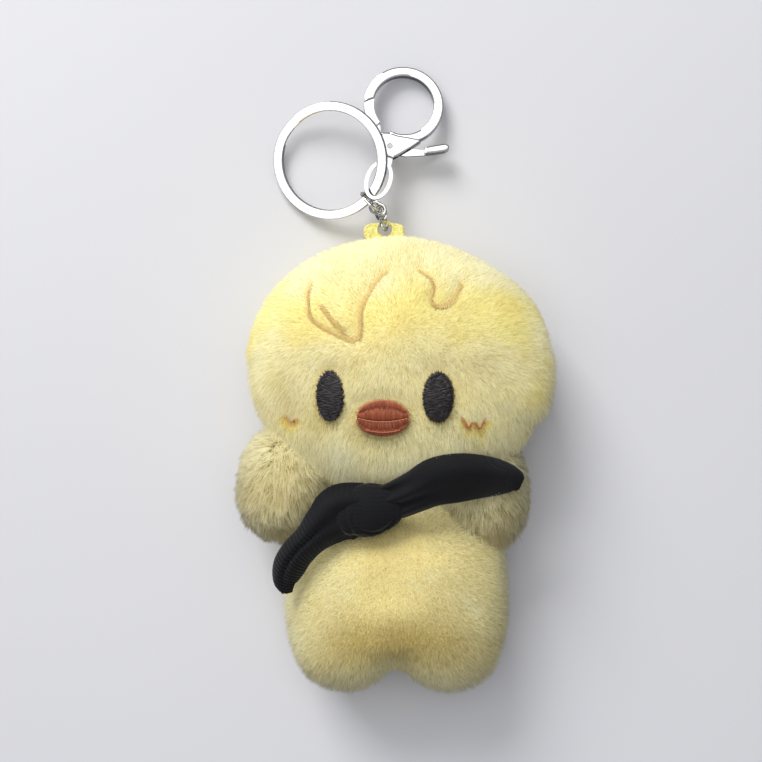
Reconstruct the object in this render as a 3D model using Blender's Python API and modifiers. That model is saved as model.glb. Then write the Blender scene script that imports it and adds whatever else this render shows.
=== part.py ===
"""Plush chick keychain: split ring, trigger clasp, short chain, stuffed head,
body and wings, tied scarf. It lies on its back: +Z up out of the face, +Y
towards the rings, floor at z = 0. Metres."""

import math

import bmesh
import bpy
from mathutils import Matrix, Vector

# ---- driving dimensions, in millimetres ----------------------------------
ORIGIN = Vector((3.755, 2.905, 0.0))  # shifts the model onto its footprint's centre
FUR_CLOTH = 0.8  # thickness of the plush cloth
GAP = 0.3  # clearance between pieces that touch

HEAD_C = (4.7, 5.0)
HEAD_A, HEAD_B = 36.0, 30.0  # half width and half height of the outline
HEAD_SEAM, HEAD_FRONT, HEAD_BACK = 13.0, 25.0, 17.0
BODY_C = (3.9, -52.8)
BODY_A, BODY_B = 26.0, 24.0
BODY_SEAM, BODY_FRONT, BODY_BACK = 12.0, 18.0, 15.0

RING_OUTER = 15.0  # split ring, outer radius
RING_BAND = 2.4  # radial width of the flat wire
COIL = 0.70  # thickness of one coil
COIL_GAP = 0.10
EDGE = 0.17  # chamfer of the flat wire
RING_C = Vector((-13.0, 56.4, 5.0))
RING_TILT, RING_TILT_DIR = math.radians(15.5), math.radians(25)

MOUTH_OUTER, MOUTH_INNER = 10.2, 7.8
MOUTH_C = Vector((4.7, 71.9, 3.35))
CLASP_LEAN, CLASP_SLOPE = math.radians(14.2), math.radians(11.4)
CLASP_ROUND = math.radians(-4.5)  # how far round the split ring it lies
PIVOT_U = -11.7
CLASP_HALF = 1.4  # half thickness of the die-cast body
SLOT_HALF = 0.85
EYE_U = -20.9
GATE_REACH, GATE_PLAY = 13.2, 0.18  # gate's end, from its pin, and its gap

LINK_L, LINK_W, LINK_WIRE = 4.9, 3.4, 0.7
JUMP_R, JUMP_WIRE = 3.3, 0.8  # centreline radius and wire of the jump ring
TAB_HOLE = Vector((0.8, 38.1, 8.6))
TAB_DIP = math.radians(-14)  # the tab hangs down towards the chain

MM = 0.001

# ---- scene ----------------------------------------------------------------
for old in list(bpy.data.objects):
    bpy.data.objects.remove(old, do_unlink=True)
PARTS = bpy.data.collections.new("plush_keychain")
CUTTERS = bpy.data.collections.new("cutters")
bpy.context.scene.collection.children.link(PARTS)
bpy.context.scene.collection.children.link(CUTTERS)


def material(name, colour, rough=0.9, metal=0.0):
    m = bpy.data.materials.new(name)
    m.use_nodes = True
    p = m.node_tree.nodes["Principled BSDF"]
    p.inputs["Base Color"].default_value = (*colour, 1)
    p.inputs["Roughness"].default_value = rough
    p.inputs["Metallic"].default_value = metal
    return m


def to_world(p):
    return (Vector(p) - ORIGIN) * MM


def add(name, mesh, colour, rough=0.9, metal=0.0, smooth=True):
    """Puts a mesh given in millimetres, in world place, into the model."""
    mesh.transform(Matrix.Scale(MM, 4) @ Matrix.Translation(-ORIGIN))
    o = bpy.data.objects.new(name, mesh)
    PARTS.objects.link(o)
    mesh.materials.clear()
    mesh.materials.append(material(name + "_finish", colour, rough, metal))
    if smooth:
        mesh.shade_smooth()
        mesh.set_sharp_from_angle(angle=math.radians(40))
    return o


def place_origin(o, point):
    """Moves an object's origin onto its joint, leaving its shape in place."""
    at = to_world(point)
    o.data.transform(Matrix.Translation(-at))
    o.location = at


def mesh_of(bm, name):
    bmesh.ops.recalc_face_normals(bm, faces=bm.faces)
    m = bpy.data.meshes.new(name)
    bm.to_mesh(m)
    bm.free()
    return m


def evaluated(mesh, modifiers, hold=()):
    """The mesh after some modifiers, each given as (type, settings)."""
    o = bpy.data.objects.new("work", mesh)
    CUTTERS.objects.link(o)
    for kind, settings in modifiers:
        mod = o.modifiers.new(kind.lower(), kind)
        for key, value in settings.items():
            setattr(mod, key, value)
    graph = bpy.context.evaluated_depsgraph_get()
    graph.update()
    out = bpy.data.meshes.new_from_object(o.evaluated_get(graph))
    bpy.data.objects.remove(o, do_unlink=True)
    for h in hold:
        bpy.data.objects.remove(h, do_unlink=True)
    return out


def boolean(mesh, other, operation):
    cutter = bpy.data.objects.new("tool", other)
    CUTTERS.objects.link(cutter)
    cutter.hide_render = True
    cutter.display_type = "WIRE"
    return evaluated(
        mesh,
        [("BOOLEAN", {"object": cutter, "operation": operation, "solver": "EXACT"})],
        [cutter],
    )


# ---- stuffed forms ----------------------------------------------------------
def head_radius(t):
    c, s = math.cos(t), math.sin(t)
    n = 2.25
    r = (abs(c / HEAD_A) ** n + abs(s / HEAD_B) ** n) ** (-1 / n)
    # fuller cheeks below the middle, a slightly narrower crown above
    return r * (1 + 0.030 * math.exp(-(((t + 0.35) % (2 * math.pi)) ** 2) * 3)
                + 0.030 * math.exp(-((t - math.pi - 0.35) ** 2) * 3)
                - (0.115 if c > 0 else 0.055) * max(0.0, s) * abs(c))


def body_radius(t):
    c, s = math.cos(t), math.sin(t)
    n = 2.7
    r = (abs(c / BODY_A) ** n + abs(s / BODY_B) ** n) ** (-1 / n)
    down = math.atan2(-c, -s)  # 0 straight down, between the feet
    return r * (1 - 0.155 * math.exp(-((down / 0.40) ** 2))
                + 0.04 * math.exp(-(((abs(down) - 0.80) / 0.30) ** 2)))


def wing_radius(a, b):
    return lambda t: (abs(math.cos(t) / a) ** 2.2 + abs(math.sin(t) / b) ** 2.2) ** (-1 / 2.2)


def surface(radius, seam, front, back, inset, t, phi):
    """A point of a stuffed form: t round the outline, phi from seam to pole."""
    e1, e2 = 0.86, 0.92
    r = max(radius(t) - inset, 0.1) * max(math.cos(phi), 0.0) ** e1
    rise = (front if phi >= 0 else back) - inset
    z = seam + math.copysign(rise * abs(math.sin(phi)) ** e2, phi)
    return r * math.cos(t), r * math.sin(t), max(z, inset)


def form(centre, radius, seam, front, back, inset=0.0, part="whole",
         segments=32, rings=14, turn=0.0):
    """A uv sphere reshaped to a stuffed form, whole or one half of it."""
    bm = bmesh.new()
    bmesh.ops.create_uvsphere(bm, u_segments=segments, v_segments=rings, radius=1)
    if part != "whole":
        sign = 1 if part == "front" else -1
        doomed = [v for v in bm.verts if v.co.z * sign < -1e-4]
        bmesh.ops.delete(bm, geom=doomed, context="VERTS")
    for v in bm.verts:
        phi = math.asin(max(-1.0, min(1.0, v.co.z)))
        t = math.atan2(v.co.y, v.co.x) if abs(phi) < 1.5707 else 0.0
        x, y, z = surface(radius, seam, front, back, inset, t, phi)
        if abs(phi) > 1.5707:
            x = y = 0.0
        if part != "whole" and abs(phi) < 1e-3:
            z += 0.15 if part == "front" else -0.15
        v.co = (x, y, z)
    bmesh.ops.rotate(bm, cent=(0, 0, 0), matrix=Matrix.Rotation(turn, 3, "Z"),
                     verts=bm.verts)
    bmesh.ops.translate(bm, vec=(centre[0], centre[1], 0), verts=bm.verts)
    return bm


def half_shell(name, *spec, part):
    """One sewn panel: an open half with the cloth's thickness inwards."""
    m = mesh_of(form(*spec, part=part), name)
    sums = sum(p.normal.z for p in m.polygons)
    if (sums < 0) == (part == "front"):
        m.flip_normals()
    return evaluated(m, [("SOLIDIFY", {"thickness": FUR_CLOTH, "offset": -1.0,
                                       "use_even_offset": True})])


CREAM, STRAW = (0.86, 0.76, 0.42), (0.80, 0.68, 0.34)
FILL = (0.92, 0.92, 0.90)
HEAD = (HEAD_C, head_radius, HEAD_SEAM, HEAD_FRONT, HEAD_BACK)
BODY = (BODY_C, body_radius, BODY_SEAM, BODY_FRONT, BODY_BACK)

add("head_front_panel", half_shell("hf", *HEAD, part="front"), CREAM)
add("head_back_panel", half_shell("hb", *HEAD, part="back"), CREAM)
add("head_stuffing", mesh_of(form(*HEAD, inset=FUR_CLOTH + 0.8, segments=24,
                                  rings=12), "hs"), FILL)
add("body_front_panel", half_shell("bf", *BODY, part="front"), STRAW)
add("body_back_panel", half_shell("bb", *BODY, part="back"), STRAW)
add("body_stuffing", mesh_of(form(*BODY, inset=FUR_CLOTH + 0.8, segments=24,
                                  rings=12), "bs"), FILL)


def grown(spec, by, segments=32, rings=14):
    return mesh_of(form(*spec, inset=-by, segments=segments, rings=rings), "grown")


def dropped(mesh, floor):
    """Straightens a cutter's underside downwards, so nothing is left below."""
    for v in mesh.vertices:
        if v.co.z <= floor:
            v.co.z = -6.0
    return mesh


# ---- wings: cloth sock open towards the shoulder, with its own filling -------
WINGS = {
    "left": ((-24.2, -25.2), wing_radius(9.6, 12.8), 12.4, math.radians(-8), (-24.5, -13.0)),
    "right": ((24.8, -26.9), wing_radius(10.4, 13.4), 13.2, math.radians(8), (30.5, -13.0)),
}
WING_SEAM, WING_BACK = 12.5, 9.2
for side, (centre, radius, front, turn, shoulder) in WINGS.items():
    spec = (centre, radius, WING_SEAM, front, WING_BACK)
    outer = mesh_of(form(*spec, segments=24, rings=12, turn=turn), "wing")
    inner = mesh_of(form(*spec, inset=FUR_CLOTH, segments=24, rings=12, turn=turn),
                    "hollow")
    fill = mesh_of(form(*spec, inset=FUR_CLOTH + 0.3, segments=20, rings=10,
                        turn=turn), "fill")
    outer = boolean(outer, inner, "DIFFERENCE")
    for spec2, gap in ((HEAD, 0.5), (BODY, 0.9)):
        outer = boolean(outer, dropped(grown(spec2, gap), 0.4), "DIFFERENCE")
        fill = boolean(fill, dropped(grown(spec2, gap), 0.4), "DIFFERENCE")
    if side == "right":  # room for the band of the scarf beside the neck
        for k, work in enumerate((outer, fill)):
            bm = bmesh.new()
            bmesh.ops.create_cube(bm, size=1.0)
            for v in bm.verts:
                v.co = (5.0 + (v.co.x + 0.5) * 13.2, -31.0 + (v.co.y + 0.5) * 26.0,
                        -2.0 + (v.co.z + 0.5) * 25.0)
            cut = boolean(work, mesh_of(bm, "room"), "DIFFERENCE")
            outer, fill = (cut, fill) if k == 0 else (outer, cut)
    place_origin(add(f"wing_{side}_cloth", outer, CREAM), (*shoulder, WING_SEAM))
    place_origin(add(f"wing_{side}_stuffing", fill, FILL), (*shoulder, WING_SEAM))


# ---- embroidery -------------------------------------------------------------
def head_height(x, y):
    """Height of the face above a point of the plan."""
    dx, dy = x - HEAD_C[0], y - HEAD_C[1]
    rho = min(1.0, math.hypot(dx, dy) / head_radius(math.atan2(dy, dx)))
    c = rho ** (1 / 0.86)
    return HEAD_SEAM + HEAD_FRONT * (1 - c * c) ** 0.46


def patch(name, outline, colour, lift=0.42, thick=0.55, rings=3):
    """A stitched patch that follows the face, from its outline in plan."""
    cx = sum(p[0] for p in outline) / len(outline)
    cy = sum(p[1] for p in outline) / len(outline)
    bm = bmesh.new()
    rows = []
    for k in range(1, rings + 1):
        f = k / rings
        row = []
        for px, py in outline:
            x, y = cx + (px - cx) * f, cy + (py - cy) * f
            row.append(bm.verts.new((x, y, head_height(x, y) + lift)))
        rows.append(row)
    mid = bm.verts.new((cx, cy, head_height(cx, cy) + lift))
    n = len(outline)
    for i in range(n):
        j = (i + 1) % n
        bm.faces.new((mid, rows[0][i], rows[0][j]))
        for a, b in zip(rows, rows[1:]):
            bm.faces.new((a[i], b[i], b[j], a[j]))
    m = mesh_of(bm, name)
    if sum(p.normal.z for p in m.polygons) < 0:
        m.flip_normals()
    m = evaluated(m, [("SOLIDIFY", {"thickness": thick, "offset": 1.0})])
    return add(name, m, colour)


def ellipse(cx, cy, a, b, tilt=0.0, n=24):
    out = []
    for k in range(n):
        t = 2 * math.pi * k / n
        x, y = a * math.cos(t), b * math.sin(t)
        out.append((cx + x * math.cos(tilt) - y * math.sin(tilt),
                    cy + x * math.sin(tilt) + y * math.cos(tilt)))
    return out


DARK, BEAK = (0.035, 0.022, 0.022), (0.52, 0.13, 0.05)
EYE_A, EYE_B = 3.35, 6.0
patch("eye_left", ellipse(-12.2, -3.6, EYE_A, EYE_B, 0.03), DARK)
patch("eye_right", ellipse(13.6, -3.9, EYE_A + 0.35, EYE_B, -0.03), DARK)
BEAK_C, BEAK_A, BEAK_B = (0.4, -8.9), 6.3, 4.4
upper = [(BEAK_C[0] + BEAK_A * math.cos(t), BEAK_C[1] + 0.22
          + (BEAK_B - 0.2) * math.sin(t))
         for t in (math.pi * k / 12 for k in range(13))]
lower = [(BEAK_C[0] + BEAK_A * math.cos(t), BEAK_C[1] - 0.22
          + (BEAK_B - 0.2) * math.sin(t))
         for t in (math.pi + math.pi * k / 12 for k in range(13))]
patch("beak_upper", upper, BEAK)
patch("beak_lower", lower, BEAK)


def stitch_line(name, points, colour, wire=0.7, lift=0.55, n=14):
    """A satin-stitched line laid on the face through a few plan points."""
    total = [0.0]
    for (x0, y0), (x1, y1) in zip(points, points[1:]):
        total.append(total[-1] + math.hypot(x1 - x0, y1 - y0))
    curve = bpy.data.curves.new(name, "CURVE")
    curve.dimensions = "3D"
    curve.bevel_depth = wire / 2
    curve.bevel_resolution = 1
    curve.use_fill_caps = True
    spline = curve.splines.new("POLY")
    spline.points.add(n - 1)
    for k in range(n):
        s = total[-1] * k / (n - 1)
        i = max(i for i in range(len(points) - 1) if total[i] <= s + 1e-9)
        f = (s - total[i]) / (total[i + 1] - total[i])
        x = points[i][0] + f * (points[i + 1][0] - points[i][0])
        y = points[i][1] + f * (points[i + 1][1] - points[i][1])
        spline.points[k].co = (x, y, head_height(x, y) + lift, 1)
    o = bpy.data.objects.new(name + "_curve", curve)
    CUTTERS.objects.link(o)
    graph = bpy.context.evaluated_depsgraph_get()
    m = bpy.data.meshes.new_from_object(o.evaluated_get(graph))
    bpy.data.objects.remove(o, do_unlink=True)
    bm = bmesh.new()
    bm.from_mesh(m)
    bmesh.ops.remove_doubles(bm, verts=bm.verts, dist=0.001)
    return add(name, mesh_of(bm, name), colour)


GOLD, CORAL = (0.72, 0.42, 0.12), (0.68, 0.24, 0.10)
stitch_line("fringe_left_outer", [(-16.7, 23.3), (-17.6, 20.8), (-17.5, 17.9),
                                  (-17.0, 15.0), (-13.9, 12.8), (-10.2, 11.1),
                                  (-7.1, 9.7), (-5.0, 10.1), (-4.8, 12.7),
                                  (-4.9, 16.2), (-3.7, 19.3), (-1.8, 22.8),
                                  (0.3, 25.4), (1.7, 26.2)], GOLD, n=22)
stitch_line("fringe_left_inner", [(-14.4, 18.2), (-12.6, 15.6), (-10.4, 13.2),
                                  (-8.6, 11.9)], GOLD, n=8)
stitch_line("fringe_right", [(9.0, 26.6), (12.0, 24.6), (12.7, 22.2),
                             (11.6, 19.2), (13.1, 17.6), (15.8, 17.9),
                             (17.7, 19.8), (19.3, 23.4)], GOLD, n=16)
stitch_line("blush_left", [(-23.2, -8.0), (-21.8, -10.2), (-20.2, -9.0)], CORAL,
            n=7)
stitch_line("blush_right", [(19.4, -8.8), (20.8, -11.6), (22.2, -9.6),
                            (23.6, -11.8), (25.0, -9.2)], CORAL, n=11)


# ---- neck and scarf ---------------------------------------------------------
def oval_ring(a, b, half, thick, centre, steps=28):
    """A band round the neck, in the plane across it."""
    bm = bmesh.new()
    loops = []
    for k in range(steps):
        t = 2 * math.pi * k / steps
        c, s = math.cos(t), math.sin(t)
        loops.append([bm.verts.new((centre[0] + (a + o) * c, centre[1] + w,
                                    centre[2] + (b + o) * s))
                      for o, w in ((0, -half), (thick, -half), (thick, half),
                                   (0, half))])
    for k in range(steps):
        p, q = loops[k], loops[(k + 1) % steps]
        for i in range(4):
            bm.faces.new((p[i], p[(i + 1) % 4], q[(i + 1) % 4], q[i]))
    return mesh_of(bm, "oval")


NECK_C = (4.3, -26.9, 12.0)
bm = bmesh.new()
bmesh.ops.create_cone(bm, cap_ends=True, segments=24, radius1=1, radius2=1, depth=2)
for v in bm.verts:
    v.co = (NECK_C[0] + 11.0 * v.co.x, NECK_C[1] + 1.0 * v.co.z,
            NECK_C[2] + 7.0 * v.co.y)
add("neck_seam", mesh_of(bm, "neck"), CREAM)
NAVY = (0.010, 0.012, 0.016)
add("scarf_neck_band", oval_ring(11.4, 7.4, 1.0, 1.6, NECK_C), NAVY)


def strip(name, path, widths, thick, colour, crown=0.0):
    """Cloth lofted along a path; widths are half widths across it."""
    bm = bmesh.new()
    rows = []
    n = len(path)
    for k, (p, w) in enumerate(zip(path, widths)):
        a, b = Vector(path[max(k - 1, 0)]), Vector(path[min(k + 1, n - 1)])
        along = (b - a).normalized()
        side = Vector((-along.y, along.x, 0)).normalized()
        up = along.cross(side) * -1
        if up.z < 0:
            up = -up
        row = []
        for f in (-1.0, -0.5, 0.0, 0.5, 1.0):
            row.append(Vector(p) + side * (w * f) + up * (crown * (1 - f * f)))
        section = [q + up * thick / 2 for q in row]
        section += [q - up * thick / 2 for q in reversed(row)]
        rows.append([bm.verts.new(q) for q in section])
    m = len(rows[0])
    for p, q in zip(rows, rows[1:]):
        for i in range(m):
            bm.faces.new((p[i], p[(i + 1) % m], q[(i + 1) % m], q[i]))
    bm.faces.new(rows[0])
    bm.faces.new(rows[-1])
    return add(name, mesh_of(bm, name), colour)


def along(points, n):
    """Points spread evenly by a smooth curve through the given ones."""
    out = []
    for k in range(n):
        s = (len(points) - 1) * k / (n - 1)
        i = min(int(s), len(points) - 2)
        f = s - i
        p0 = Vector(points[max(i - 1, 0)])
        p1, p2 = Vector(points[i]), Vector(points[i + 1])
        p3 = Vector(points[min(i + 2, len(points) - 1)])
        out.append(tuple(0.5 * ((2 * p1) + (p2 - p0) * f
                                + (2 * p0 - 5 * p1 + 4 * p2 - p3) * f * f
                                + (3 * p1 - p0 - 3 * p2 + p3) * f ** 3)))
    return out


KNOT_C = Vector((-2.4, -29.0, 31.0))
strip("scarf_tail_right",
      along([(4.6, -29.0, 32.6), (12.0, -26.8, 33.8), (20.5, -24.6, 32.2),
             (28.0, -24.0, 28.6), (33.8, -24.6, 26.0)], 12),
      [v for v in (3.4, 4.0, 4.8, 5.2, 5.3, 5.1, 4.6, 4.2, 3.7, 3.2, 2.4, 1.5)],
      2.0, NAVY, crown=0.6)
strip("scarf_tail_left",
      along([(-9.2, -31.6, 32.4), (-14.4, -35.4, 32.0), (-19.8, -41.2, 29.6),
             (-23.0, -47.0, 26.4), (-24.4, -52.2, 23.4)], 12),
      [v for v in (3.6, 4.3, 4.9, 5.2, 5.2, 5.0, 4.6, 4.2, 3.8, 3.2, 2.4, 1.4)],
      2.0, NAVY, crown=0.6)
bm = bmesh.new()
bmesh.ops.create_uvsphere(bm, u_segments=20, v_segments=10, radius=1)
for v in bm.verts:
    x, y, z = v.co
    v.co = Vector((6.3 * x, 4.6 * y, 3.9 * z))
bmesh.ops.rotate(bm, cent=(0, 0, 0), matrix=Matrix.Rotation(0.25, 3, "Z"),
                 verts=bm.verts)
bmesh.ops.translate(bm, vec=KNOT_C, verts=bm.verts)
add("scarf_knot", mesh_of(bm, "knot"), NAVY)

# ---- woven loop tab with an eyelet for the last link --------------------------
TAB_HALF, TAB_THICK = 5.0, 1.0
bm = bmesh.new()
bmesh.ops.create_cube(bm, size=1)
for v in bm.verts:
    v.co = (v.co.x * 2 * TAB_HALF, v.co.y * 4.6 - 0.4, v.co.z * TAB_THICK)
tab = mesh_of(bm, "tab")
tab = evaluated(tab, [("BEVEL", {"width": 0.4, "segments": 2})])
bm = bmesh.new()
bmesh.ops.create_cone(bm, cap_ends=True, segments=16, radius1=1.3, radius2=1.3,
                      depth=8)
tab = boolean(tab, mesh_of(bm, "bore"), "DIFFERENCE")
tab.transform(Matrix.Translation(TAB_HOLE) @ Matrix.Rotation(TAB_DIP, 4, "X"))
tab = boolean(tab, grown(HEAD, 0.3, 48, 20), "DIFFERENCE")
add("loop_tab", tab, (0.85, 0.72, 0.16))

# ---- metal ------------------------------------------------------------------
CHROME = ((0.78, 0.78, 0.79), 0.16, 1.0)


def basis(origin, x, y):
    """A frame with the given origin, first and second directions."""
    x = Vector(x).normalized()
    y = Vector(y)
    y = (y - x * y.dot(x)).normalized()
    z = x.cross(y)
    m = Matrix((x, y, z)).transposed().to_4x4()
    m.translation = Vector(origin)
    return m


# split ring: one flat wire wound almost twice, with a ramp between the coils
tx = math.tan(RING_TILT) * math.cos(RING_TILT_DIR)
ty = math.tan(RING_TILT) * math.sin(RING_TILT_DIR)
RING = basis(RING_C, (1, 0, tx), (0, 1, ty))
PITCH = COIL + COIL_GAP
RAMP_AT, RAMP = math.radians(130), math.radians(26)


def ring_point(angle, radius, w=0.0):
    return RING @ Vector((radius * math.cos(angle), radius * math.sin(angle), w))


bm = bmesh.new()
rows = []
steps = 104
start, sweep = RAMP_AT - math.radians(2), math.radians(2 * 360 - 32)
for k in range(steps + 1):
    d = sweep * k / steps
    ramp = min(max((d - (2 * math.pi - RAMP) + math.radians(3)) / RAMP, 0.0), 1.0)
    ramp = ramp * ramp * (3 - 2 * ramp)
    w = PITCH / 2 - PITCH * ramp
    a = start - d
    row = []
    inner, c, h = RING_OUTER - RING_BAND, EDGE, COIL / 2
    for r, up in ((inner, c - h), (inner + c, -h), (RING_OUTER - c, -h),
                  (RING_OUTER, c - h), (RING_OUTER, h - c), (RING_OUTER - c, h),
                  (inner + c, h), (inner, h - c)):
        row.append(bm.verts.new(ring_point(a, r, w + up)))
    rows.append(row)
for p, q in zip(rows, rows[1:]):
    for i in range(8):
        bm.faces.new((p[i], p[(i + 1) % 8], q[(i + 1) % 8], q[i]))
bm.faces.new(rows[0])
bm.faces.new(rows[-1])
add("split_ring", mesh_of(bm, "ring"), *CHROME)

# clasp frame: first axis across, second towards the mouth, third out of its face
cu = math.cos(CLASP_SLOPE)
u_dir = Vector((math.sin(CLASP_LEAN) * cu, math.cos(CLASP_LEAN) * cu,
                -math.sin(CLASP_SLOPE)))
v_dir = Vector((math.cos(CLASP_LEAN), -math.sin(CLASP_LEAN), 0))
round_ring = Matrix.Rotation(CLASP_ROUND, 4, RING.to_3x3() @ Vector((0, 0, 1)))
CLASP = (Matrix.Translation(RING_C) @ round_ring @ Matrix.Translation(-RING_C)
         @ basis(MOUTH_C, v_dir, u_dir))


def prism(outline, low, high, frame=CLASP):
    """A flat outline in a frame's first two axes, extruded along the third."""
    bm = bmesh.new()
    base = [bm.verts.new(frame @ Vector((x, y, low))) for x, y in outline]
    top = [bm.verts.new(frame @ Vector((x, y, high))) for x, y in outline]
    n = len(outline)
    bm.faces.new(base)
    bm.faces.new(top)
    for i in range(n):
        bm.faces.new((base[i], base[(i + 1) % n], top[(i + 1) % n], top[i]))
    return mesh_of(bm, "prism")


def arc(r, a0, a1, n, centre=(0, 0), squash=1.0):
    return [(centre[0] + r * math.cos(a0 + (a1 - a0) * k / n),
             centre[1] + squash * r * math.sin(a0 + (a1 - a0) * k / n))
            for k in range(n + 1)]


def rounded(mesh, width):
    """The same solid with its sharp edges taken off."""
    return evaluated(mesh, [("BEVEL", {"width": width, "segments": 2,
                                       "limit_method": "ANGLE",
                                       "angle_limit": math.radians(60)})])


def end_face(reach, n=4):
    """Across the ring's left side, every point `reach` from the pivot."""
    found = []
    for k in range(n + 1):
        r = MOUTH_OUTER + (MOUTH_INNER - MOUTH_OUTER) * k / n
        u = (reach ** 2 - r ** 2 - PIVOT_U ** 2) / (-2 * PIVOT_U)
        found.append((-math.sqrt(r * r - u * u), u))
    return found


def turned(point):
    return math.atan2(point[1], point[0]) % (2 * math.pi)


tip = end_face(GATE_REACH + GATE_PLAY)
hook = prism(arc(MOUTH_OUTER, math.radians(-97), turned(tip[0]), 38) + tip[1:-1]
             + arc(MOUTH_INNER, turned(tip[-1]), math.radians(-97), 38), -1.25, 1.25)
hook = rounded(hook, 0.42)
base_shape = [(-3.1, -8.9), (-1.2, -8.3), (1.2, -8.3), (3.4, -7.9), (6.4, -7.5),
              (7.3, -7.6), (5.2, -10.4), (3.2, -12.8), (1.8, -14.3), (-1.8, -14.3),
              (-2.9, -12.6), (-3.1, -10.6)]
body = boolean(hook, rounded(prism(base_shape, -CLASP_HALF, CLASP_HALF), 0.4),
               "UNION")
neck = [(-1.7, -14.0), (1.7, -14.0), (1.9, -17.4), (-1.9, -17.4)]
body = boolean(body, prism(neck, -0.6, 0.42), "UNION")
eye_outer = arc(3.45, 0, 2 * math.pi, 28, (0, EYE_U), 5.35 / 3.45)[:-1]
eye_inner = arc(2.45, 0, 2 * math.pi, 24, (0, EYE_U), 4.45 / 2.45)[:-1]
body = boolean(body, prism(eye_outer, -0.45, 0.45), "UNION")
body = boolean(body, prism(eye_inner, -4, 4), "DIFFERENCE")
slot = [(-9, -5.6), (-0.9, -5.6), (-0.9, -8.5), (-0.3, -9.25), (8.5, -9.25),
        (8.5, -15.4), (2.0, -14.3), (1.0, -13.9), (-8, -13.9)]
body = boolean(body, prism(slot, -SLOT_HALF, SLOT_HALF), "DIFFERENCE")
bore = arc(0.7, 0, 2 * math.pi, 16, (0, PIVOT_U))[:-1]
body = boolean(body, prism(bore, -5, 5), "DIFFERENCE")
add("clasp_body", body, *CHROME)

# gate: arm that closes the mouth on one side, thumb lever on the other
GATE_LOW, GATE_HIGH = -0.70, 0.05
hub = arc(1.75, 0, 2 * math.pi, 20, (0, PIVOT_U))[:-1]
gate = prism(hub, GATE_LOW, GATE_HIGH)
bend = math.radians(234)
thin_arm = [(-0.3, -10.1), (-3.0, -9.6), *arc(8.05, math.radians(240), bend, 2),
            *arc(9.9, bend, math.radians(240), 2), (-4.2, -11.0), (-1.0, -13.1)]
gate = boolean(gate, prism(thin_arm, GATE_LOW, GATE_HIGH), "UNION")
face = end_face(GATE_REACH)
gate = boolean(gate, prism(arc(MOUTH_OUTER, turned(face[0]), bend + 0.03, 8)
                           + arc(MOUTH_INNER, bend + 0.03, turned(face[-1]), 8)
                           + face[-2:0:-1], -1.25, 1.25), "UNION")
lever = [(0.6, -10.15), (4.2, -10.6), (9.4, -9.2), (9.4, -10.6), (4.6, -12.6),
         (0.8, -13.2)]
gate = boolean(gate, prism(lever, GATE_LOW, GATE_HIGH), "UNION")
paddle = [(8.6, -8.9), (11.0, -7.5), (13.2, -6.3), (14.3, -6.5), (14.5, -7.4),
          (13.8, -8.2), (11.6, -9.4), (9.0, -10.6)]
gate = boolean(gate, rounded(prism(paddle, -1.4, 1.4), 0.4), "UNION")
gate = boolean(gate, prism(arc(0.78, 0, 2 * math.pi, 16, (0, PIVOT_U))[:-1], -5, 5),
               "DIFFERENCE")
PIVOT = CLASP @ Vector((0, PIVOT_U, 0))
place_origin(add("clasp_gate_lever", gate, *CHROME), PIVOT)

pin = prism(arc(0.6, 0, 2 * math.pi, 14, (0, PIVOT_U))[:-1], -1.4, 1.4)
add("clasp_pivot_pin", pin, (0.6, 0.6, 0.6), 0.3, 1.0)


def wire(name, points, diameter, colour, cyclic=False, resolution=2, matrix=None):
    """A round wire through points, as a mesh."""
    curve = bpy.data.curves.new(name, "CURVE")
    curve.dimensions = "3D"
    curve.bevel_depth = diameter / 2
    curve.bevel_resolution = resolution
    curve.use_fill_caps = True
    spline = curve.splines.new("POLY")
    spline.points.add(len(points) - 1)
    for q, p in zip(spline.points, points):
        q.co = (*(matrix @ Vector(p) if matrix else Vector(p)), 1)
    spline.use_cyclic_u = cyclic
    o = bpy.data.objects.new(name + "_curve", curve)
    CUTTERS.objects.link(o)
    graph = bpy.context.evaluated_depsgraph_get()
    m = bpy.data.meshes.new_from_object(o.evaluated_get(graph))
    bpy.data.objects.remove(o, do_unlink=True)
    bm = bmesh.new()
    bm.from_mesh(m)
    bmesh.ops.remove_doubles(bm, verts=bm.verts, dist=0.0005)
    return add(name, mesh_of(bm, name), *colour)


coil = [(1.15 * math.cos(t), PIVOT_U + 1.15 * math.sin(t), 0.36 + 0.28 * k / 24)
        for k in range(25) for t in (math.radians(200 + 30 * k * 0.75),)]
coil = [(-3.0, -11.2, 0.33)] + coil
wire("clasp_spring", coil, 0.2, ((0.5, 0.5, 0.5), 0.3, 1.0), resolution=1,
     matrix=CLASP)

# jump ring round the split ring's wire
JUMP_A = math.radians(-46)
tangent = (ring_point(JUMP_A + 0.01, 13.8) - ring_point(JUMP_A - 0.01, 13.8)).normalized()
out = (ring_point(JUMP_A, 15) - ring_point(JUMP_A, 13)).normalized()
ring_n = RING.to_3x3() @ Vector((0, 0, 1))
JUMP_C = ring_point(JUMP_A, RING_OUTER - RING_BAND / 2) + out * 1.35
JUMP = basis(JUMP_C, out, ring_n)
wire("jump_ring", [(JUMP_R * math.cos(t), JUMP_R * math.sin(t), 0)
                   for t in (2 * math.pi * k / 24 for k in range(24))],
     JUMP_WIRE, CHROME, cyclic=True, matrix=JUMP)


def oval(n=20):
    """Centreline of a chain link, long way along the first axis."""
    half, r = (LINK_L - LINK_W) / 2, (LINK_W - LINK_WIRE) / 2
    right = [(half + r * math.cos(t), r * math.sin(t), 0)
             for t in (-math.pi / 2 + math.pi * k / (n // 2 - 1)
                       for k in range(n // 2))]
    return right + [(-x, -y, 0) for x, y, _ in right]


REACH = LINK_L / 2 - LINK_WIRE - 0.17  # from a link's centre to its contact
SEAT = JUMP_R - LINK_WIRE / 2 - 0.26


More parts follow.
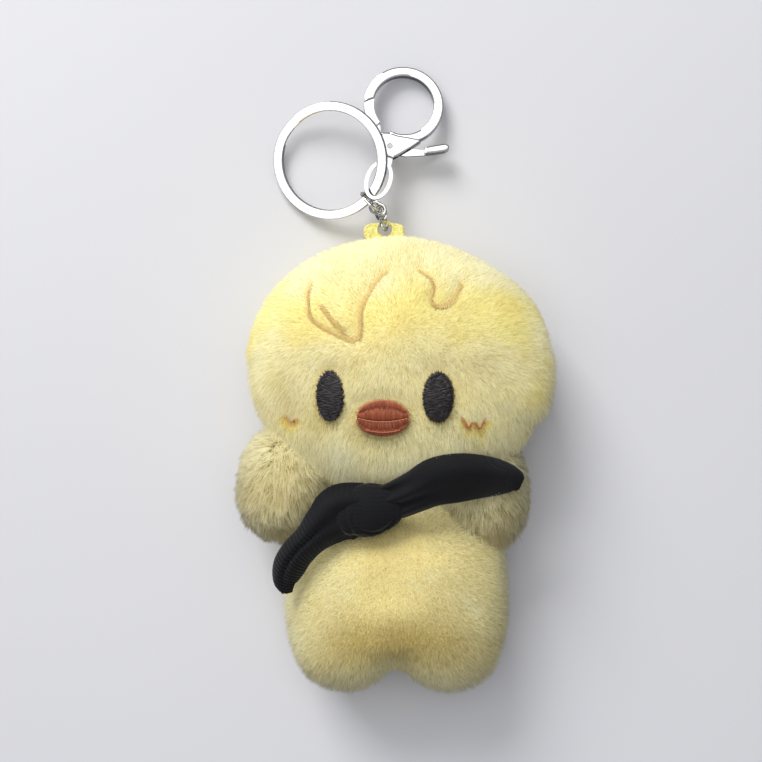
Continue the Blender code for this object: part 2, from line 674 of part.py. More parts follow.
def jump_seat(angle):
    return JUMP @ Vector((SEAT * math.cos(angle), SEAT * math.sin(angle), 0))


P1 = jump_seat(math.radians(-30))
P4 = TAB_HOLE + Vector((0, 0.75, -0.1))
span = P4 - P1
sag = math.sqrt(max((2 * REACH) ** 2 - (span.length / 2) ** 2, 0.0))
side = Vector((0.9, 0.35, 0.0))
side = (side - span.normalized() * side.dot(span.normalized())).normalized()
P2 = (P1 + P4) / 2 + side * sag
LINK_A = basis((P1 + P2) / 2, P2 - P1, tangent)
LINK_B = basis((P2 + P4) / 2, P4 - P2, LINK_A.to_3x3() @ Vector((0, 0, 1)))
wire("chain_link_upper", oval(), LINK_WIRE, CHROME, cyclic=True, matrix=LINK_A)
wire("chain_link_lower", oval(), LINK_WIRE, CHROME, cyclic=True, matrix=LINK_B)
P5 = jump_seat(math.radians(62))
free_dir = (out * 0.86 + tangent * 0.30 + Vector((0, 0, 0.10))).normalized()
LINK_C = basis(P5 + free_dir * REACH, free_dir, tangent)
wire("chain_link_free", oval(), LINK_WIRE, CHROME, cyclic=True, matrix=LINK_C)

JOINTS = {
    "tab": P4, "mid": P2, "jump": P1, "free": P5,
    "band": ring_point(JUMP_A, 13.8), "jump_centre": JUMP_C,
    "eye": CLASP @ Vector((0, EYE_U, 0)),
    "pivot": PIVOT, "mouth": CLASP.translation, "ring": RING_C,
}
for key, point in JOINTS.items():
    print("JOINT", key, [round(c, 6) for c in to_world(point)])
for key, axis in {"tangent": tangent, "out": out, "ring_n": ring_n,
                  "clasp_z": CLASP.to_3x3() @ Vector((0, 0, 1)),
                  "a_w": LINK_A.to_3x3() @ Vector((0, 1, 0)),
                  "b_w": LINK_B.to_3x3() @ Vector((0, 1, 0)),
                  "c_w": LINK_C.to_3x3() @ Vector((0, 1, 0)),
                  "eye_t": (ring_point(math.radians(-19), 13.8)
                            - ring_point(math.radians(-21), 13.8)).normalized(),
                  }.items():
    print("AXIS", key, [round(c, 5) for c in axis])
bpy.context.view_layer.update()
lo = [min((o.matrix_world @ v.co)[i] for o in PARTS.objects for v in o.data.vertices)
      for i in range(3)]
hi = [max((o.matrix_world @ v.co)[i] for o in PARTS.objects for v in o.data.vertices)
      for i in range(3)]
print("BOX", [round(c, 5) for c in lo], [round(c, 5) for c in hi],
      sum(len(o.data.loop_triangles) or sum(len(p.vertices) - 2
          for p in o.data.polygons) for o in PARTS.objects))
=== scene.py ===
"""Looks of the plush chick keychain: deep pile, satin stitching, knitted scarf, plated metal."""
import math

import bmesh
import bpy
import numpy as np
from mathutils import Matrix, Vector, kdtree


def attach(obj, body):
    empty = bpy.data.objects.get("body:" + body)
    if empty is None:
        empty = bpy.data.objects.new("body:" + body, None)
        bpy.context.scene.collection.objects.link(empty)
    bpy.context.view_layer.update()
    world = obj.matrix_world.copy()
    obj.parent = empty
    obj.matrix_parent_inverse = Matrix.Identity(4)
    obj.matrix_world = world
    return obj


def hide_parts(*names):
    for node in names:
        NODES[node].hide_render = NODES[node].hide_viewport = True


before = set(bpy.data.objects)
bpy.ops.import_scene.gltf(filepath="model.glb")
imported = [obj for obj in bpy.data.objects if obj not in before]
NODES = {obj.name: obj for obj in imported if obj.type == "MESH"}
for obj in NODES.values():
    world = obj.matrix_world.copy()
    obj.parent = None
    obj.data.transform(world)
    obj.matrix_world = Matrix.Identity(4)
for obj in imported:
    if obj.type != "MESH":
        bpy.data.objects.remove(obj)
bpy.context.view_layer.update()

MM = 0.001
ORIGIN = np.array([3.755, 2.905, 0.0])
RNG = np.random.default_rng(20417)
COLL = bpy.context.scene.collection


def place(points):
    """Model millimetres to world metres."""
    return (np.asarray(points, float) - ORIGIN) * MM


# ---------------------------------------------------------------- camera, floor, light
def camera():
    data = bpy.data.cameras.new("view")
    data.sensor_width, data.lens = 36.0, 82.2
    data.clip_start, data.clip_end = 0.01, 20.0
    cam = bpy.data.objects.new("view", data)
    cam.location = (-ORIGIN[0] * MM, -ORIGIN[1] * MM, 0.45)
    COLL.objects.link(cam)
    bpy.context.scene.camera = cam


def area(name, where, size, power, colour=(1, 1, 1), aim=(0.0, 0.0, 0.01)):
    data = bpy.data.lights.new(name, "AREA")
    data.shape, data.size, data.size_y = "RECTANGLE", size[0], size[1]
    data.energy, data.color = power, colour
    o = bpy.data.objects.new(name, data)
    o.location = where
    o.rotation_euler = (Vector(aim) - Vector(where)).to_track_quat("-Z", "Y").to_euler()
    COLL.objects.link(o)
    return o


camera()
bpy.context.scene.view_settings.view_transform = "Standard"
area("window", (-0.42, 0.80, 0.62), (0.55, 0.45), 9.4, (1.0, 0.995, 0.985))
area("ceiling", (-0.30, 0.36, 1.35), (1.60, 1.50), 6.9, (0.985, 0.99, 1.0))

world = bpy.data.worlds.new("room")
bpy.context.scene.world = world
world.use_nodes = True
wn = world.node_tree
for n in list(wn.nodes):
    wn.nodes.remove(n)
wout = wn.nodes.new("ShaderNodeOutputWorld")
wbg = wn.nodes.new("ShaderNodeBackground")
wtc = wn.nodes.new("ShaderNodeTexCoord")
wsep = wn.nodes.new("ShaderNodeSeparateXYZ")
wramp = wn.nodes.new("ShaderNodeValToRGB")
wramp.color_ramp.elements[0].position = 0.0
wramp.color_ramp.elements[0].color = (0.02, 0.02, 0.022, 1)
wramp.color_ramp.elements[1].position = 0.85
wramp.color_ramp.elements[1].color = (0.62, 0.63, 0.66, 1)
e = wramp.color_ramp.elements.new(0.35)
e.color = (0.16, 0.16, 0.17, 1)
wn.links.new(wtc.outputs["Generated"], wsep.inputs[0])
wn.links.new(wsep.outputs["Z"], wramp.inputs[0])
wn.links.new(wramp.outputs[0], wbg.inputs[0])
wbg.inputs[1].default_value = 0.66
wn.links.new(wbg.outputs[0], wout.inputs[0])


# ---------------------------------------------------------------- materials
class Mat:
    """A node material built a line at a time around one Principled shader."""

    def __init__(self, name, **values):
        self.m = bpy.data.materials.new(name)
        self.m.use_nodes = True
        self.t = self.m.node_tree
        self.p = self.t.nodes["Principled BSDF"]
        for key, v in values.items():
            self.p.inputs[key.replace("_", " ")].default_value = v

    def node(self, kind, **attrs):
        n = self.t.nodes.new("ShaderNode" + kind)
        for k, v in attrs.items():
            setattr(n, k, v)
        return n

    def link(self, a, b):
        self.t.links.new(a, b)

    def coords(self, scale=(1, 1, 1), kind="Object", uv=None):
        if uv:
            src = self.node("UVMap", uv_map=uv).outputs[0]
        else:
            src = self.node("TexCoord").outputs[kind]
        mp = self.node("Mapping")
        mp.inputs["Scale"].default_value = scale
        self.link(src, mp.inputs[0])
        return mp.outputs[0]

    def noise(self, scale, detail=3.0, rough=0.5, vec=None, dist=0.0):
        n = self.node("TexNoise")
        n.inputs["Scale"].default_value = scale
        n.inputs["Detail"].default_value = detail
        n.inputs["Roughness"].default_value = rough
        n.inputs["Distortion"].default_value = dist
        if vec is not None:
            self.link(vec, n.inputs["Vector"])
        return n.outputs["Fac"]

    def ramp(self, fac, stops):
        n = self.node("ValToRGB")
        r = n.color_ramp
        while len(r.elements) < len(stops):
            r.elements.new(0.5)
        for el, (pos, c) in zip(r.elements, stops):
            el.position, el.color = pos, (*c[:3], 1)
        self.link(fac, n.inputs[0])
        return n.outputs[0]

    def mix(self, fac, a, b, kind="MIX"):
        n = self.node("Mix", data_type="RGBA", blend_type=kind)
        for sock, v in ((n.inputs["Factor"], fac), (n.inputs[6], a), (n.inputs[7], b)):
            if hasattr(v, "is_linked") or isinstance(v, bpy.types.NodeSocket):
                self.link(v, sock)
            else:
                sock.default_value = v if isinstance(v, (int, float)) else (*v[:3], 1)
        return n.outputs[2]

    def math(self, op, a, b=0.0, clamp=False):
        n = self.node("Math", operation=op, use_clamp=clamp)
        for sock, v in zip(n.inputs, (a, b)):
            if isinstance(v, bpy.types.NodeSocket):
                self.link(v, sock)
            else:
                sock.default_value = v
        return n.outputs[0]

    def colour(self, out):
        self.link(out, self.p.inputs["Base Color"])

    def rough(self, out):
        self.link(out, self.p.inputs["Roughness"])

    def bump(self, height, strength=0.4, distance=0.0004):
        n = self.node("Bump")
        n.inputs["Strength"].default_value = strength
        n.inputs["Distance"].default_value = distance
        self.link(height, n.inputs["Height"])
        self.link(n.outputs[0], self.p.inputs["Normal"])


def srgb(h):
    c = [int(h[i:i + 2], 16) / 255 for i in (1, 3, 5)]
    return tuple(v / 12.92 if v <= 0.04045 else ((v + 0.055) / 1.055) ** 2.4 for v in c)


def floor_material():
    m = Mat("table_top", Roughness=0.62)
    v = m.coords()
    a = m.noise(3.0, 2.0, vec=v)
    m.colour(m.ramp(a, [(0.3, (0.74, 0.74, 0.77)), (0.7, (0.78, 0.78, 0.81))]))
    m.bump(m.noise(900.0, 2.0, vec=v), 0.05, 0.0001)
    return m.m


bm = bmesh.new()
bmesh.ops.create_grid(bm, x_segments=8, y_segments=8, size=1.6)
bmesh.ops.translate(bm, vec=(0, 0, -0.00015), verts=bm.verts)
me = bpy.data.meshes.new("table_top")
bm.to_mesh(me)
floor = bpy.data.objects.new("table_top", me)
floor.data.materials.append(floor_material())
COLL.objects.link(floor)


# ---------------------------------------------------------------- meshes from arrays
def mesh_object(name, verts, faces, material, body, smooth=True):
    """verts in model millimetres."""
    me = bpy.data.meshes.new(name)
    me.from_pydata([tuple(v) for v in place(verts)], [], faces)
    me.validate()
    me.update()
    if smooth:
        me.polygons.foreach_set("use_smooth", [True] * len(me.polygons))
    o = bpy.data.objects.new(name, me)
    o.data.materials.append(material)
    COLL.objects.link(o)
    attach(o, body)
    return o


def unit(v):
    return v / np.maximum(np.linalg.norm(v, axis=-1, keepdims=True), 1e-9)


# ---------------------------------------------------------------- stuffed forms
HEAD_C, HEAD_A, HEAD_B = np.array([4.7, 5.0]), 36.0, 30.0
BODY_C, BODY_A, BODY_B = np.array([3.9, -52.8]), 26.0, 24.0


def head_radius(t):
    c, s = np.cos(t), np.sin(t)
    r = (np.abs(c / HEAD_A) ** 2.25 + np.abs(s / HEAD_B) ** 2.25) ** (-1 / 2.25)
    return r * (1 + 0.030 * np.exp(-(((t + 0.35) % (2 * math.pi)) ** 2) * 3)
                + 0.030 * np.exp(-((t - math.pi - 0.35) ** 2) * 3)
                - np.where(c > 0, 0.115, 0.055) * np.maximum(0, s) * np.abs(c))


def body_radius(t):
    c, s = np.cos(t), np.sin(t)
    r = (np.abs(c / BODY_A) ** 2.7 + np.abs(s / BODY_B) ** 2.7) ** (-1 / 2.7)
    down = np.arctan2(-c, -s)
    return r * (1 - 0.155 * np.exp(-((down / 0.40) ** 2))
                + 0.04 * np.exp(-(((np.abs(down) - 0.80) / 0.30) ** 2)))


def wing_radius(a, b):
    return lambda t: (np.abs(np.cos(t) / a) ** 2.2 + np.abs(np.sin(t) / b) ** 2.2) ** (-1 / 2.2)


FORMS = {
    "head": (HEAD_C, head_radius, 13.0, 25.0, 17.0, 0.0),
    "body": (BODY_C, body_radius, 12.0, 18.0, 15.0, 0.0),
    "wing_left": (np.array([-24.2, -25.2]), wing_radius(9.6, 12.8), 12.5, 12.4, 9.2, math.radians(-8)),
    "wing_right": (np.array([24.8, -26.9]), wing_radius(10.4, 13.4), 12.5, 13.2, 9.2, math.radians(8)),
}


def form_points(key, t, phi, inset=0.0):
    centre, radius, seam, front, back, turn = FORMS[key]
    r = np.maximum(radius(t) - inset, 0.1) * np.maximum(np.cos(phi), 0) ** 0.86
    rise = np.where(phi >= 0, front, back) - inset
    z = seam + np.sign(phi) * rise * np.abs(np.sin(phi)) ** 0.92
    x, y = r * np.cos(t), r * np.sin(t)
    c, s = math.cos(turn), math.sin(turn)
    return np.stack([centre[0] + c * x - s * y, centre[1] + s * x + c * y,
                     np.maximum(z, 0.25 + inset)], -1)


def bumps(p, scale, seed, octaves=3):
    """Cheap smooth noise of points, about -1 to 1."""
    rng = np.random.default_rng(seed)
    out, amp = 0.0, 1.0
    for k in range(octaves):
        for j in range(4):
            d = unit(rng.normal(size=3))
            f = scale * (1.9 ** k) * (0.7 + 0.6 * rng.random())
            out = out + amp * np.sin(p @ d * f + rng.random() * 6.283) / 4
        amp *= 0.55
    return out


def head_height(x, y):
    dx, dy = x - HEAD_C[0], y - HEAD_C[1]
    rho = np.minimum(1.0, np.hypot(dx, dy) / head_radius(np.arctan2(dy, dx)))
    c = rho ** (1 / 0.86)
    return 13.0 + 25.0 * np.maximum(1 - c * c, 0) ** 0.46


def grid_form(key, nt, nph, inset=0.0):
    """Vertices (closed uv form), faces."""
    t = np.linspace(-math.pi, math.pi, nt, endpoint=False)
    phi = np.linspace(-math.pi / 2, math.pi / 2, nph + 1)[1:-1]
    T, P = np.meshgrid(t, phi)
    pts = form_points(key, T.ravel(), P.ravel(), inset)
    centre, _, seam, front, back, _ = FORMS[key]
    low = np.array([[centre[0], centre[1], max(seam - back + inset, 0.25 + inset)]])
    high = np.array([[centre[0], centre[1], seam + front - inset]])
    verts = np.concatenate([pts, low, high])
    rows = nph - 1
    faces = []
    for i in range(rows - 1):
        for j in range(nt):
            a, b = i * nt + j, i * nt + (j + 1) % nt
            faces.append((a, b, b + nt, a + nt))
    lo, hi = rows * nt, rows * nt + 1
    for j in range(nt):
        faces.append((lo, (j + 1) % nt, j))
        k = (rows - 1) * nt
        faces.append((hi, k + j, k + (j + 1) % nt))
    return verts, faces


def normals_of(verts, faces):
    tri = []
    for f in faces:
        tri.append((f[0], f[1], f[2]))
        if len(f) == 4:
            tri.append((f[0], f[2], f[3]))
    tri = np.array(tri)
    fn = np.cross(verts[tri[:, 1]] - verts[tri[:, 0]], verts[tri[:, 2]] - verts[tri[:, 0]])
    out = np.zeros_like(verts)
    for k in range(3):
        np.add.at(out, tri[:, k], fn)
    return unit(out), tri, np.linalg.norm(fn, axis=1) / 2


# ---------------------------------------------------------------- pile
def pile_material(name, root, mid, tip, sheen=0.25, olive=True):
    """Colour runs along each strand by its 'strand' attribute: R random, G along it (root painted darker), B
    painted light and shade.
    """
    m = Mat(name, Roughness=0.85, Sheen_Weight=sheen, Sheen_Roughness=0.5,
            Specular_IOR_Level=0.15)
    at = m.node("Attribute", attribute_name="strand")
    sep = m.node("SeparateColor")
    m.link(at.outputs["Color"], sep.inputs[0])
    # Darker towards the root: painted shade between the hairs, which cast no shadows.
    along = m.ramp(sep.outputs[1], [(0.0, root), (0.45, mid), (1.0, tip)])
    if olive:
        # The olive ramp has a darker root still: painted shade, used where the alpha is high.
        cool = m.ramp(sep.outputs[1], [(0.0, (0.34, 0.31, 0.15)), (0.42, (0.72, 0.67, 0.36)),
                                       (1.0, (1.0, 0.97, 0.70))])
        part = m.ramp(at.outputs["Alpha"], [(0.55, (0, 0, 0)), (1.0, (1, 1, 1))])
        along = m.mix(part, along, cool)
    v = m.coords()
    blotch = m.noise(95.0, 3.0, 0.55, vec=v)
    warm = m.ramp(blotch, [(0.32, (0.95, 0.92, 0.82)), (0.68, (1.02, 1.03, 1.04))])
    c = m.mix(1.0, along, warm, "MULTIPLY")
    each = m.ramp(sep.outputs[0], [(0.0, (0.72, 0.69, 0.58)), (0.45, (0.97, 0.97, 0.95)),
                                   (1.0, (1.06, 1.06, 1.06))])
    c = m.mix(1.0, c, each, "MULTIPLY")
    # B is painted light and shade: darker and browner below 0.5, lighter and paler above it.
    shade = m.ramp(sep.outputs[2], [(0.0, (0.66, 0.56, 0.36)), (0.5, (1, 1, 1)),
                                    (1.0, (1.04, 1.08, 1.22))])
    c = m.mix(1.0, c, shade, "MULTIPLY")
    cast = m.ramp(at.outputs["Alpha"], [(0.0, (1.02, 0.50, 0.46)), (0.42, (1.0, 0.93, 0.86)), (0.5, (1, 1, 1)),
                                        (0.62, (1.0, 1.01, 1.30)), (1.0, (1.0, 1.0, 1.05))])
    c = m.mix(1.0, c, cast, "MULTIPLY")
    m.colour(c)
    return m.m


def skin_material(name, colour, dark):
    m = Mat(name, Roughness=0.95)
    v = m.coords()
    a = m.noise(420.0, 4.0, 0.6, vec=v)
    m.colour(m.ramp(a, [(0.3, dark), (0.7, colour)]))
    m.bump(m.noise(1400.0, 3.0, 0.6, vec=v), 0.8, 0.0006)
    return m.m


PILE = pile_material("pile", (0.84, 0.66, 0.17), (0.97, 0.86, 0.31), (1.0, 0.94, 0.48), 0.15)
SKIN = skin_material("backing", (0.93, 0.80, 0.38), (0.80, 0.65, 0.26))


def sample(verts, faces, weight, count, rng):
    """Roots spread by area times weight; returns points and normals."""
    nrm, tri, areas = normals_of(verts, faces)
    centre = verts[tri].mean(1)
    w = areas * np.maximum(weight(centre), 0)
    pick = rng.choice(len(tri), size=count, p=w / w.sum())
    a, b = rng.random(count), rng.random(count)
    flip = a + b > 1
    a[flip], b[flip] = 1 - a[flip], 1 - b[flip]
    c = (1 - a - b)[:, None]
    t = tri[pick]
    p = verts[t[:, 0]] * c + verts[t[:, 1]] * a[:, None] + verts[t[:, 2]] * b[:, None]
    n = unit(nrm[t[:, 0]] * c + nrm[t[:, 1]] * a[:, None] + nrm[t[:, 2]] * b[:, None])
    return p, n


def nearest_clump(p, centres):
    tree = kdtree.KDTree(len(centres))
    for i, c in enumerate(centres):
        tree.insert(c, i)
    tree.balance()
    return np.array([tree.find(q)[1] for q in p])


RIGHT_TAIL = [(0.5, -29.6, 31.4, 4.4, 1.0), (4.2, -28.4, 32.2, 4.8, 1.6), (8.6, -26.4, 33.0, 5.2, 2.2),
              (13.2, -24.2, 33.6, 5.9, 2.8), (18.6, -23.3, 33.0, 6.0, 2.8), (24.4, -23.1, 31.2, 5.3, 2.3),
              (29.2, -23.5, 28.8, 4.3, 1.6), (32.2, -24.1, 27.0, 3.2, 0.9), (34.0, -24.9, 26.0, 2.0, 0.3)]
LEFT_TAIL = [(-3.0, -30.3, 31.0, 6.0, 1.2), (-9.4, -31.8, 31.6, 7.1, 1.9), (-13.4, -34.7, 31.5, 5.6, 2.0),
             (-17.0, -38.2, 30.4, 4.2, 1.6), (-20.3, -41.7, 28.9, 4.1, 1.6), (-22.4, -45.3, 27.1, 4.0, 1.4),
             (-23.4, -48.8, 25.3, 3.0, 0.9), (-23.0, -51.6, 23.8, 1.4, 0.3)]


def scarf_roof(x, y):
    """The height of the scarf's underside over a point, or a large number beside it."""
    roof = np.full(x.shape, 99.0)
    for tail in (RIGHT_TAIL, LEFT_TAIL):
        for (x0, y0, z0, h0, d0), (x1, y1, z1, h1, d1) in zip(tail, tail[1:]):
            ex, ey = x1 - x0, y1 - y0
            f = np.clip(((x - x0) * ex + (y - y0) * ey) / (ex * ex + ey * ey), 0, 1)
            d = np.hypot(x - x0 - f * ex, y - y0 - f * ey)
            z = z0 + f * (z1 - z0) - 1.3 - (d0 + f * (d1 - d0)) * 0.8
            roof = np.where(d < (h0 + f * (h1 - h0)) * 0.80, np.minimum(roof, z), roof)
    return roof


def strands(p, n, flow, length, lift, rng, width=0.24, clump=0.45, clump_size=1.6,
            droop=0.12, messy=0.22, dark=None, pale=0.5, rise=0.45):
    """Bent, tapered, three-sided hairs. Returns verts, faces array, attribute."""
    count = len(p)
    flow = unit(flow - n * np.sum(flow * n, axis=1, keepdims=True))
    start = unit(n * lift[:, None] + flow * (1 - lift)[:, None]
                 + rng.normal(size=(count, 3)) * messy)
    bend = flow * 0.42 + np.array([0, 0, -1.0]) * droop + rng.normal(size=(count, 3)) * messy * 0.5
    at = lambda s: p + length[:, None] * (start * s + bend * s * s * 0.5)
    mid, tip = at(0.5), at(1.0)
    if clump > 0:
        k = max(int(count / (clump_size ** 2 * 7)), 8)
        lead = rng.choice(count, size=k, replace=False)
        own = lead[nearest_clump(p, p[lead])]
        near = np.exp(-(np.linalg.norm(p - p[own], axis=1) / (clump_size * 1.5)) ** 2)
        f = (clump * (0.4 + 0.6 * rng.random(count)) * near)[:, None]
        mid = mid + (mid[own] - mid) * f * 0.45
        tip = tip + (tip[own] - tip) * f
    side = unit(np.cross(start, n + rng.normal(size=(count, 3)) * 0.35))
    up = unit(np.cross(start, side))
    w = width * (0.7 + 0.6 * rng.random(count))[:, None]
    verts = np.empty((count, 7, 3))
    for j in range(3):
        a = 2 * math.pi * j / 3
        off = side * math.cos(a) + up * math.sin(a)
        verts[:, j] = p + off * w * 0.5 - n * 0.25
        verts[:, 3 + j] = mid + off * w * 0.42
    verts[:, 6] = tip
    base = (np.arange(count) * 7)[:, None]
    quads = [(0, 1, 4, 3), (1, 2, 5, 4), (2, 0, 3, 5)]
    tris = [(3, 4, 6), (4, 5, 6), (5, 3, 6), (0, 2, 1)]
    q = np.concatenate([base + np.array(f) for f in quads], 1).reshape(count, 3, 4)
    t = np.concatenate([base + np.array(f) for f in tris], 1).reshape(count, 4, 3)
    att = np.empty((count, 7, 4), np.float32)
    att[:, :, 0] = rng.random(count)[:, None]
    att[:, :3, 1], att[:, 3:6, 1], att[:, 6, 1] = 0.0, 0.5, 1.0
    # B carries the painted light and shade worked out by each pile.
    att[:, :, 2] = (0.5 if dark is None else dark[:, None])
    att[:, :, 3] = np.clip(np.broadcast_to(pale, (count,)), 0, 1)[:, None]
    roof = scarf_roof(verts[:, :, 0], verts[:, :, 1])
    verts[:, :, 2] = np.maximum(np.minimum(verts[:, :, 2], np.maximum(roof, p[:, None, 2] + 0.1)), 0.06)
    tilt = unit(n + np.array([0, 0, rise]) + 0.10 * flow + rng.normal(size=(count, 3)) * 0.13)
    lie = np.repeat(tilt[:, None, :], 7, axis=1).astype(np.float32)
    return verts, q, t, att, lie


def pile_object(name, parts, material, body):
    """One mesh of hairs, each with its own small square of the map."""
    verts, q, t, att, lie = _merge(parts)
    count = len(verts)
    v = place(verts.reshape(-1, 3)).astype(np.float32)
    loops_q, loops_t = q.reshape(-1), t.reshape(-1)
    me = bpy.data.meshes.new(name)
    me.vertices.add(len(v))
    me.vertices.foreach_set("co", v.ravel())
    nq, nt = len(loops_q) // 4, len(loops_t) // 3
    me.loops.add(len(loops_q) + len(loops_t))
    loops = np.concatenate([loops_q, loops_t]).astype(np.int32)
    me.loops.foreach_set("vertex_index", loops)
    me.polygons.add(nq + nt)
    starts = np.concatenate([np.arange(nq) * 4, nq * 4 + np.arange(nt) * 3]).astype(np.int32)
    me.polygons.foreach_set("loop_start", starts)
    me.polygons.foreach_set("use_smooth", np.ones(nq + nt, bool))
    me.update(calc_edges=True)
    ca = me.color_attributes.new("strand", "FLOAT_COLOR", "POINT")
    ca.data.foreach_set("color", att.reshape(-1).astype(np.float32))
    me.normals_split_custom_set_from_vertices(lie.reshape(-1, 3))
    side = int(math.ceil(math.sqrt(count)))
    hair = loops // 7
    local = loops % 7
    cell = 1.0 / side
    lu = np.array([0.15, 0.5, 0.85, 0.2, 0.5, 0.8, 0.5])[local]
    lv = np.array([0.1, 0.1, 0.1, 0.5, 0.5, 0.5, 0.9])[local]
    uv = np.stack([((hair % side) + lu) * cell, ((hair // side) + lv) * cell], 1)
    layer = me.uv_layers.new(name="OFBake")
    layer.data.foreach_set("uv", uv.astype(np.float32).ravel())
    o = bpy.data.objects.new(name, me)
    me.materials.append(material)
    COLL.objects.link(o)
    o.visible_shadow = False
    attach(o, body)
    return o


def _merge(parts):
    off, out = 0, [[], [], [], [], []]
    for verts, q, t, att, lie in parts:
        out[0].append(verts); out[1].append(q + off); out[2].append(t + off)
        out[3].append(att); out[4].append(lie)
        off += len(verts) * 7
    return tuple(np.concatenate(x) for x in out)


def line_distance(p, points):
    """Plan distance of points to a polyline."""
    best = np.full(len(p), 1e9)
    for (x0, y0), (x1, y1) in zip(points, points[1:]):
        d = np.array([x1 - x0, y1 - y0])
        f = np.clip(((p[:, :2] - (x0, y0)) @ d) / (d @ d), 0, 1)[:, None]
        best = np.minimum(best, np.linalg.norm(p[:, :2] - (np.array([x0, y0]) + f * d), axis=1))
    return best


EYES = [(-12.2, -3.6, 3.35, 6.0), (13.6, -3.9, 3.7, 6.0)]
BEAK = (0.4, -8.9, 6.3, 4.4)
FRINGE = [
    [(-16.7, 23.3), (-17.6, 20.8), (-17.5, 17.9), (-17.0, 15.0), (-13.9, 12.8), (-10.2, 11.1),
     (-7.1, 9.7), (-5.0, 10.1), (-4.8, 12.7), (-4.9, 16.2), (-3.7, 19.3), (-1.8, 22.8),
     (0.3, 25.4), (1.7, 26.2)],
    [(-14.4, 18.2), (-12.6, 15.6), (-10.4, 13.2), (-8.6, 11.9)],
    [(9.0, 26.6), (12.0, 24.6), (12.7, 22.2), (11.6, 19.2), (13.1, 17.6), (15.8, 17.9),
     (17.7, 19.8), (19.3, 23.4)]]
BLUSH = [[(-23.2, -8.0), (-21.8, -10.2), (-20.2, -9.0)],
         [(19.4, -8.8), (20.8, -11.6), (22.2, -9.6), (23.6, -11.8), (25.0, -9.2)]]


def oval_distance(p, oval, grow=0.0):
    """Below 1 inside the oval grown by some millimetres."""
    x, y, a, b = oval
    return np.hypot((p[:, 0] - x) / (a + grow), (p[:, 1] - y) / (b + grow))


def smooth(lo, hi, x):
    f = np.clip((x - lo) / (hi - lo), 0, 1)
    return f * f * (3 - 2 * f)


def skin(key, name, body, nodes):
    v, f = grid_form(key, 128, 72)
    n, _, _ = normals_of(v, f)
    flat = v[:, 2] < 0.4
    v = v + n * (0.35 * bumps(v, 0.22, 5 + len(key)))[:, None] * (~flat)[:, None]
    if key == "head":
        front = smooth(14, 22, v[:, 2])
        dip = np.zeros(len(v))
        for line in FRINGE + BLUSH:
            dip += 0.7 * np.exp(-(line_distance(v, line) / 1.3) ** 2)
        for oval in EYES + [BEAK]:
            d = oval_distance(v, oval, 1.2)
            dip += 0.9 * np.exp(-((d - 1.0) / 0.3) ** 2) * 0.6
        v = v - n * (np.minimum(dip, 1.0) * front)[:, None]
    if key == "body":
        # the fold where the two legs meet, and the crease above the feet
        d = np.abs(v[:, 0] - BODY_C[0])
        up = smooth(12, 20, v[:, 2])
        v = v - n * (1.9 * np.exp(-(d / 5.5) ** 2) * smooth(-63, -70, v[:, 1]))[:, None]
        belly = smooth(-50, -58, v[:, 1]) * smooth(-70, -63, v[:, 1])
        v = v + n * (1.0 * np.exp(-(d / 6.5) ** 2) * belly * up)[:, None]
    v[:, 2] = np.maximum(v[:, 2], 0.25)
    o = mesh_object(name, v, f, SKIN, body)
    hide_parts(*nodes)
    return v, f


def head_flow(p):
    """Out from a whorl on the forehead, more and more downwards over the face."""
    x, y = p[:, 0] - HEAD_C[0] + 1.0, p[:, 1] - 14.0
    r = np.hypot(x, y)
    low = smooth(8.0, -8.0, p[:, 1])
    dx = x / (r + 6.0) * (1 - 0.55 * low)
    dy = y / (r + 6.0) * (1 - low) - 0.95 * low
    swirl = 0.28 * bumps(p, 0.12, 71)
    around = np.stack([dx + swirl, dy + 0.22 * bumps(p, 0.14, 72), np.zeros(len(p))], 1)
    bx, by = p[:, 0] - BEAK[0], p[:, 1] - BEAK[1]
    d = np.hypot(bx / 1.3, by)
    w = np.exp(-(d / 7.0) ** 2)[:, None] * 0.8
    away = np.stack([bx, by, np.zeros(len(p))], 1) / np.maximum(np.hypot(bx, by), 0.1)[:, None]
    around = around * (1 - w) + away * w * 1.1
    return around


